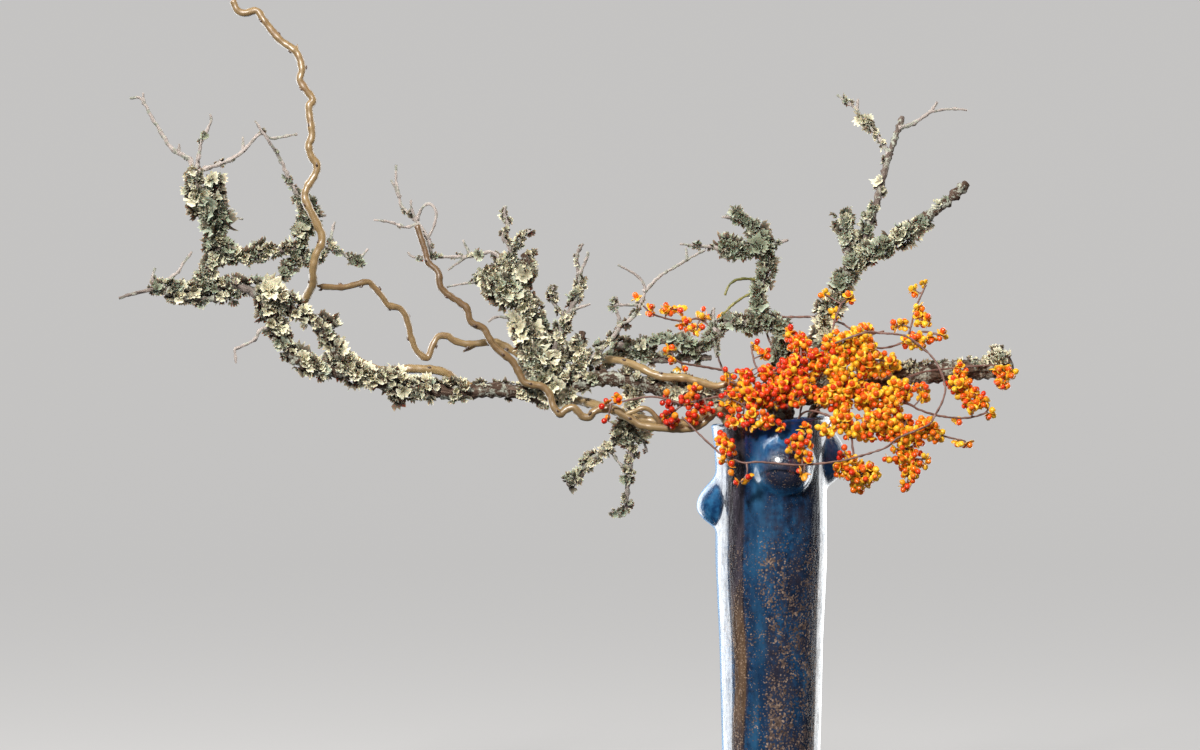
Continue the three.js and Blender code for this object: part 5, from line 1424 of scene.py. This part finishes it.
def add_husk(bundle, centre, axes, size, folded, tone, random):
    """Three valves round a berry. Each starts under it, spreads, and folds back at its end."""
    rows, columns, thick = 4, 3, 0.4
    for valve in range(3):
        turn = 2 * math.pi * valve / 3 + random.uniform(-0.15, 0.15)
        outward = np.array([math.cos(turn), math.sin(turn), 0])
        sideways = np.array([-math.sin(turn), math.cos(turn), 0])
        place, drop, edge = [], [], []
        fold = folded + random.uniform(-0.15, 0.15)
        for i in range(rows):
            t = i / (rows - 1)
            out = size * (0.2 + 2.0 * t - 0.3 * t * t)
            rise = size * (-1.0 + (1.5 - 1.6 * fold) * t ** 1.2)
            half = size * 1.02 * math.sin(math.pi * (0.2 + 0.70 * t)) ** 0.9
            for k in range(columns):
                s = 2 * k / (columns - 1) - 1
                cup = size * 0.26 * s * s * (1 - 0.4 * t)
                place.append(outward * out + sideways * s * half + np.array([0, 0, rise + cup]))
                drop.append(np.array([0, 0, -thick]) - outward * thick * 0.4)
                edge.append(max(abs(s) * t, 1.0 if i == rows - 1 else 0))
        place, drop = np.array(place), np.array(drop)
        points = np.concatenate([place, place + drop]) @ axes + centre
        lift = rows * columns
        faces = []
        for i in range(rows - 1):
            for k in range(columns - 1):
                a = i * columns + k
                faces.append((a, a + columns, a + columns + 1, a + 1))
                faces.append((a + lift, a + 1 + lift, a + columns + 1 + lift, a + columns + lift))
        rim = [i * columns for i in range(rows)] + [(rows - 1) * columns + k for k in range(1, columns)]
        rim += [i * columns + columns - 1 for i in range(rows - 2, -1, -1)] + list(range(columns - 2, -1, -1))
        faces += [(a, a + lift, b + lift, b) for a, b in zip(rim, rim[1:])]
        bundle.add(points, faces, {"tone": np.full(len(points), tone), "edge": np.array(edge * 2)})


def beside_wood(place, room):
    """Whether a ball with this radius keeps clear of the branches and the willow."""
    return np.all(((WOOD_POINTS - place) ** 2).sum(axis=1) > (WOOD_RADII + room) ** 2)


def beside_vase(place, room):
    """Whether the same ball keeps clear of the vase."""
    x, y, z = place
    if z - room > VASE_HEIGHT + RIM_DROP:
        return True
    wall = wall_radius(z) + knob_push(np.arctan2(y, x), min(z, VASE_HEIGHT))
    return math.hypot(x, y) - room > wall


def nearest_on(stems, place):
    """The nearest point of the stems."""
    every = np.concatenate(stems)
    return every[((every - place) ** 2).sum(axis=1).argmin()]


in_the_way = []
for limbs in (long_limbs, ARCH_BRANCH, FORK_BRANCH, TALL_WILLOW, MIDDLE_WILLOW, LOW_WILLOW):
    for (start, end), *_, points in limbs:
        path = Path(points, 2)
        in_the_way.append((path.points, path.taper(start, end)))
WOOD_POINTS, WOOD_RADII = (np.concatenate(rows) for rows in zip(*in_the_way))


def is_free(place, size, away):
    """Whether a fruit has room: on a stalk of a likely length, and clear of all that is there."""
    if not SHORTEST_STALK < away < LONGEST_STALK:
        return False
    if not beside_wood(place, size + WOOD_GAP) or not beside_vase(place, size + VASE_GAP):
        return False
    if not fruit_places:
        return True
    return min(((np.array(fruit_places) - place) ** 2).sum(axis=1)) >= FRUITS_APART ** 2


def add_fruit(stems, berries, husks, place, root, axis, size, ripeness, random):
    """One fruit on its stalk: a berry in an open husk, a shut husk, or a bare berry."""
    opened, shut, redness = ripeness
    axes = frame_on(axis / np.linalg.norm(axis), random.uniform(0, 6.28))
    seat = place - axes[2] * size * 0.9
    bend = (root + seat) / 2 + random.normal(0, 0.6, 3) - np.array([0, 0, 0.5])
    stalk = Path([root, bend, seat], 5, drawn=False)
    tube(stems, stalk, np.linspace(STALK_START, STALK_END, len(stalk.points)), 4)
    kind = random.random()
    tone = np.clip(random.normal(redness - 0.12, 0.16), 0.02, 0.95)
    if kind < opened:
        add_ball(berries, place, axes, size, 0.03, 0, tone)
        add_husk(husks, place, axes, size, random.choice([0.2, 0.55, 0.85]), tone * 0.8, random)
    elif kind < opened + shut:
        add_ball(husks, place, axes, size * 1.08, 0.06, 0.14, tone * 0.9)
    else:
        add_ball(berries, place, axes, size, 0.03, 0, min(tone + 0.15, 1))


fruit_places = []
for number, (name, vine) in enumerate(VINES.items()):
    random = np.random.default_rng(71 + number)
    stems, berries, husks = Bundle(), Bundle(), Bundle()
    growing = []
    for points in vine["stems"]:
        path = Path(points, 2.2)
        tube(stems, path, path.taper(VINE_START, VINE_END), 7, 0.22, random)
        growing.append(path.points)
    for *centre, spread in vine["clusters"]:
        centre = in_depth([centre])[0]
        foot = nearest_on(growing, centre)
        if np.linalg.norm(foot - centre) > SIDE_TWIG_FROM:
            middle = (foot + centre) / 2 + random.normal(0, 1, 3)
            path = Path([foot, middle, centre], 2.2, drawn=False)
            tube(stems, path, path.taper(SIDE_START, SIDE_END), 6, 0.15, random)
            growing.append(path.points)
        made = 0
        stretch = random.permutation([1.2, 1.0, 0.85]) * max(spread, 5)
        for _ in range(TRIES_IN_CLUSTER):
            if made == FRUITS_BY_SPREAD[spread]:
                break
            push = random.normal(0, 1, 3)
            place = centre + push / np.linalg.norm(push) * stretch * random.uniform(0.2, 1.0) ** 0.5
            size = BERRY * random.uniform(0.84, 1.06)
            root = nearest_on(growing, place)
            away = np.linalg.norm(place - root)
            if is_free(place, size, away):
                fruit_places.append(place)
                made += 1
                axis = (place - root) / away + 0.5 * (place - centre) / (spread + 1)
                axis = axis + random.normal(0, 0.3, 3)
                add_fruit(stems, berries, husks, place, root, axis, size, RIPENESS[name], random)
    parts = (("stems", stems, vine_bark), ("berries", berries, berry_skin), ("husks", husks, husk_skin))
    for part, bundle, finish in parts:
        piece = bundle.piece(f"vine_{name}_{part}", finish)
        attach(piece, "root")
        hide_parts(f"vine_{name}")


# Studio: a pale bowl of paper, flat where the vase stands and curved up all round far behind. A tall
# softbox stands a little behind the arrangement on either side, with a dim blue one beside the left
# one, a soft light in front and one overhead.
# Radii and heights of the bowl.
BOWL = [(1, 0), (600, 0), (1500, 0), (3500, 0), (5600, 0), (6400, 60), (7200, 320), (7900, 900), (8300, 1700),
        (8500, 3000), (8600, 6500)]
ROUND_THE_BOWL = 120
BELOW_THE_FOOT = 0.5
PAPER, GLOW = (0.25, 0.247, 0.244, 1), (1, 0.985, 0.97, 1)
paper = Finish("backdrop_paper", Base_Color=PAPER, Roughness=1, Specular_IOR_Level=0,
               Emission_Color=GLOW, Emission_Strength=0.48)


def bowl_mesh():
    """Rings round the vase, and a small face that closes the middle."""
    turns = np.linspace(0, 2 * np.pi, ROUND_THE_BOWL, endpoint=False)
    rings = []
    for radius, height in BOWL:
        level = np.full(ROUND_THE_BOWL, height - BELOW_THE_FOOT)
        rings.append(np.stack([radius * np.cos(turns), radius * np.sin(turns), level], axis=1))
    inward = [(a, d, c, b) for a, b, c, d in ring_faces(len(BOWL), ROUND_THE_BOWL)]
    return np.concatenate(rings), [tuple(range(ROUND_THE_BOWL))] + inward


backdrop = mesh_object("backdrop", *bowl_mesh(), paper)
backdrop.visible_diffuse = False
backdrop.visible_glossy = False
backdrop.visible_shadow = False

world = bpy.data.worlds.new("studio")
bpy.context.scene.world = world
world.use_nodes = True
room = world.node_tree.nodes["Background"]
room.inputs["Color"].default_value = (0.95, 0.97, 1.0, 1)
room.inputs["Strength"].default_value = 0.22
world.cycles_visibility.glossy = False


def softbox(name, place, aim, width, height, watts, colour):
    """An oblong light turned to a point, with its places and sizes in metres. No view shows it."""
    light = bpy.data.lights.new(name, "AREA")
    light.shape = "RECTANGLE"
    light.size, light.size_y = width, height
    light.energy = watts
    light.color = colour
    box = bpy.data.objects.new(name, light)
    box.location = place
    box.rotation_euler = (Vector(aim) - Vector(place)).to_track_quat("-Z", "Y").to_euler()
    box.visible_camera = False
    bpy.context.collection.objects.link(box)
    return box


# The tall ones stand level with the vase, and are shielded from the paper, so that it keeps an even
# tone. Each has its place, its width, its watts and its colour.
TALL_MIDDLE, TALL = 0.8, 2.6
shielded = bpy.data.collections.new("shielded_paper")
shielded.objects.link(backdrop)
shielded.collection_objects[0].light_linking.link_state = "EXCLUDE"
for name, x, y, width, watts, colour in (
    ("softbox_left", -1.225, 0.923, 1.30, 39, (0.95, 0.98, 1)),
    ("softbox_blue", -0.513, 1.446, 0.62, 7, (0.40, 0.66, 1)),
    ("softbox_right", 0.959, 1.344, 1.72, 40, (0.97, 0.99, 1)),
):
    tall_box = softbox(name, (x, y, TALL_MIDDLE), (0, 0, TALL_MIDDLE), width, TALL, watts, colour)
    tall_box.light_linking.receiver_collection = shielded
MIDDLE = (-0.15, 0, 0.45)
softbox("front_light", (-1.1, -2.6, 2.1), MIDDLE, 0.45, 0.45, 120, (1, 0.98, 0.95))
top_box = softbox("top_light", (-0.2, -0.5, 2.4), MIDDLE, 1.0, 0.8, 24, (1, 0.99, 0.97))
top_box.visible_glossy = False
bpy.context.scene.view_settings.view_transform = "Standard"
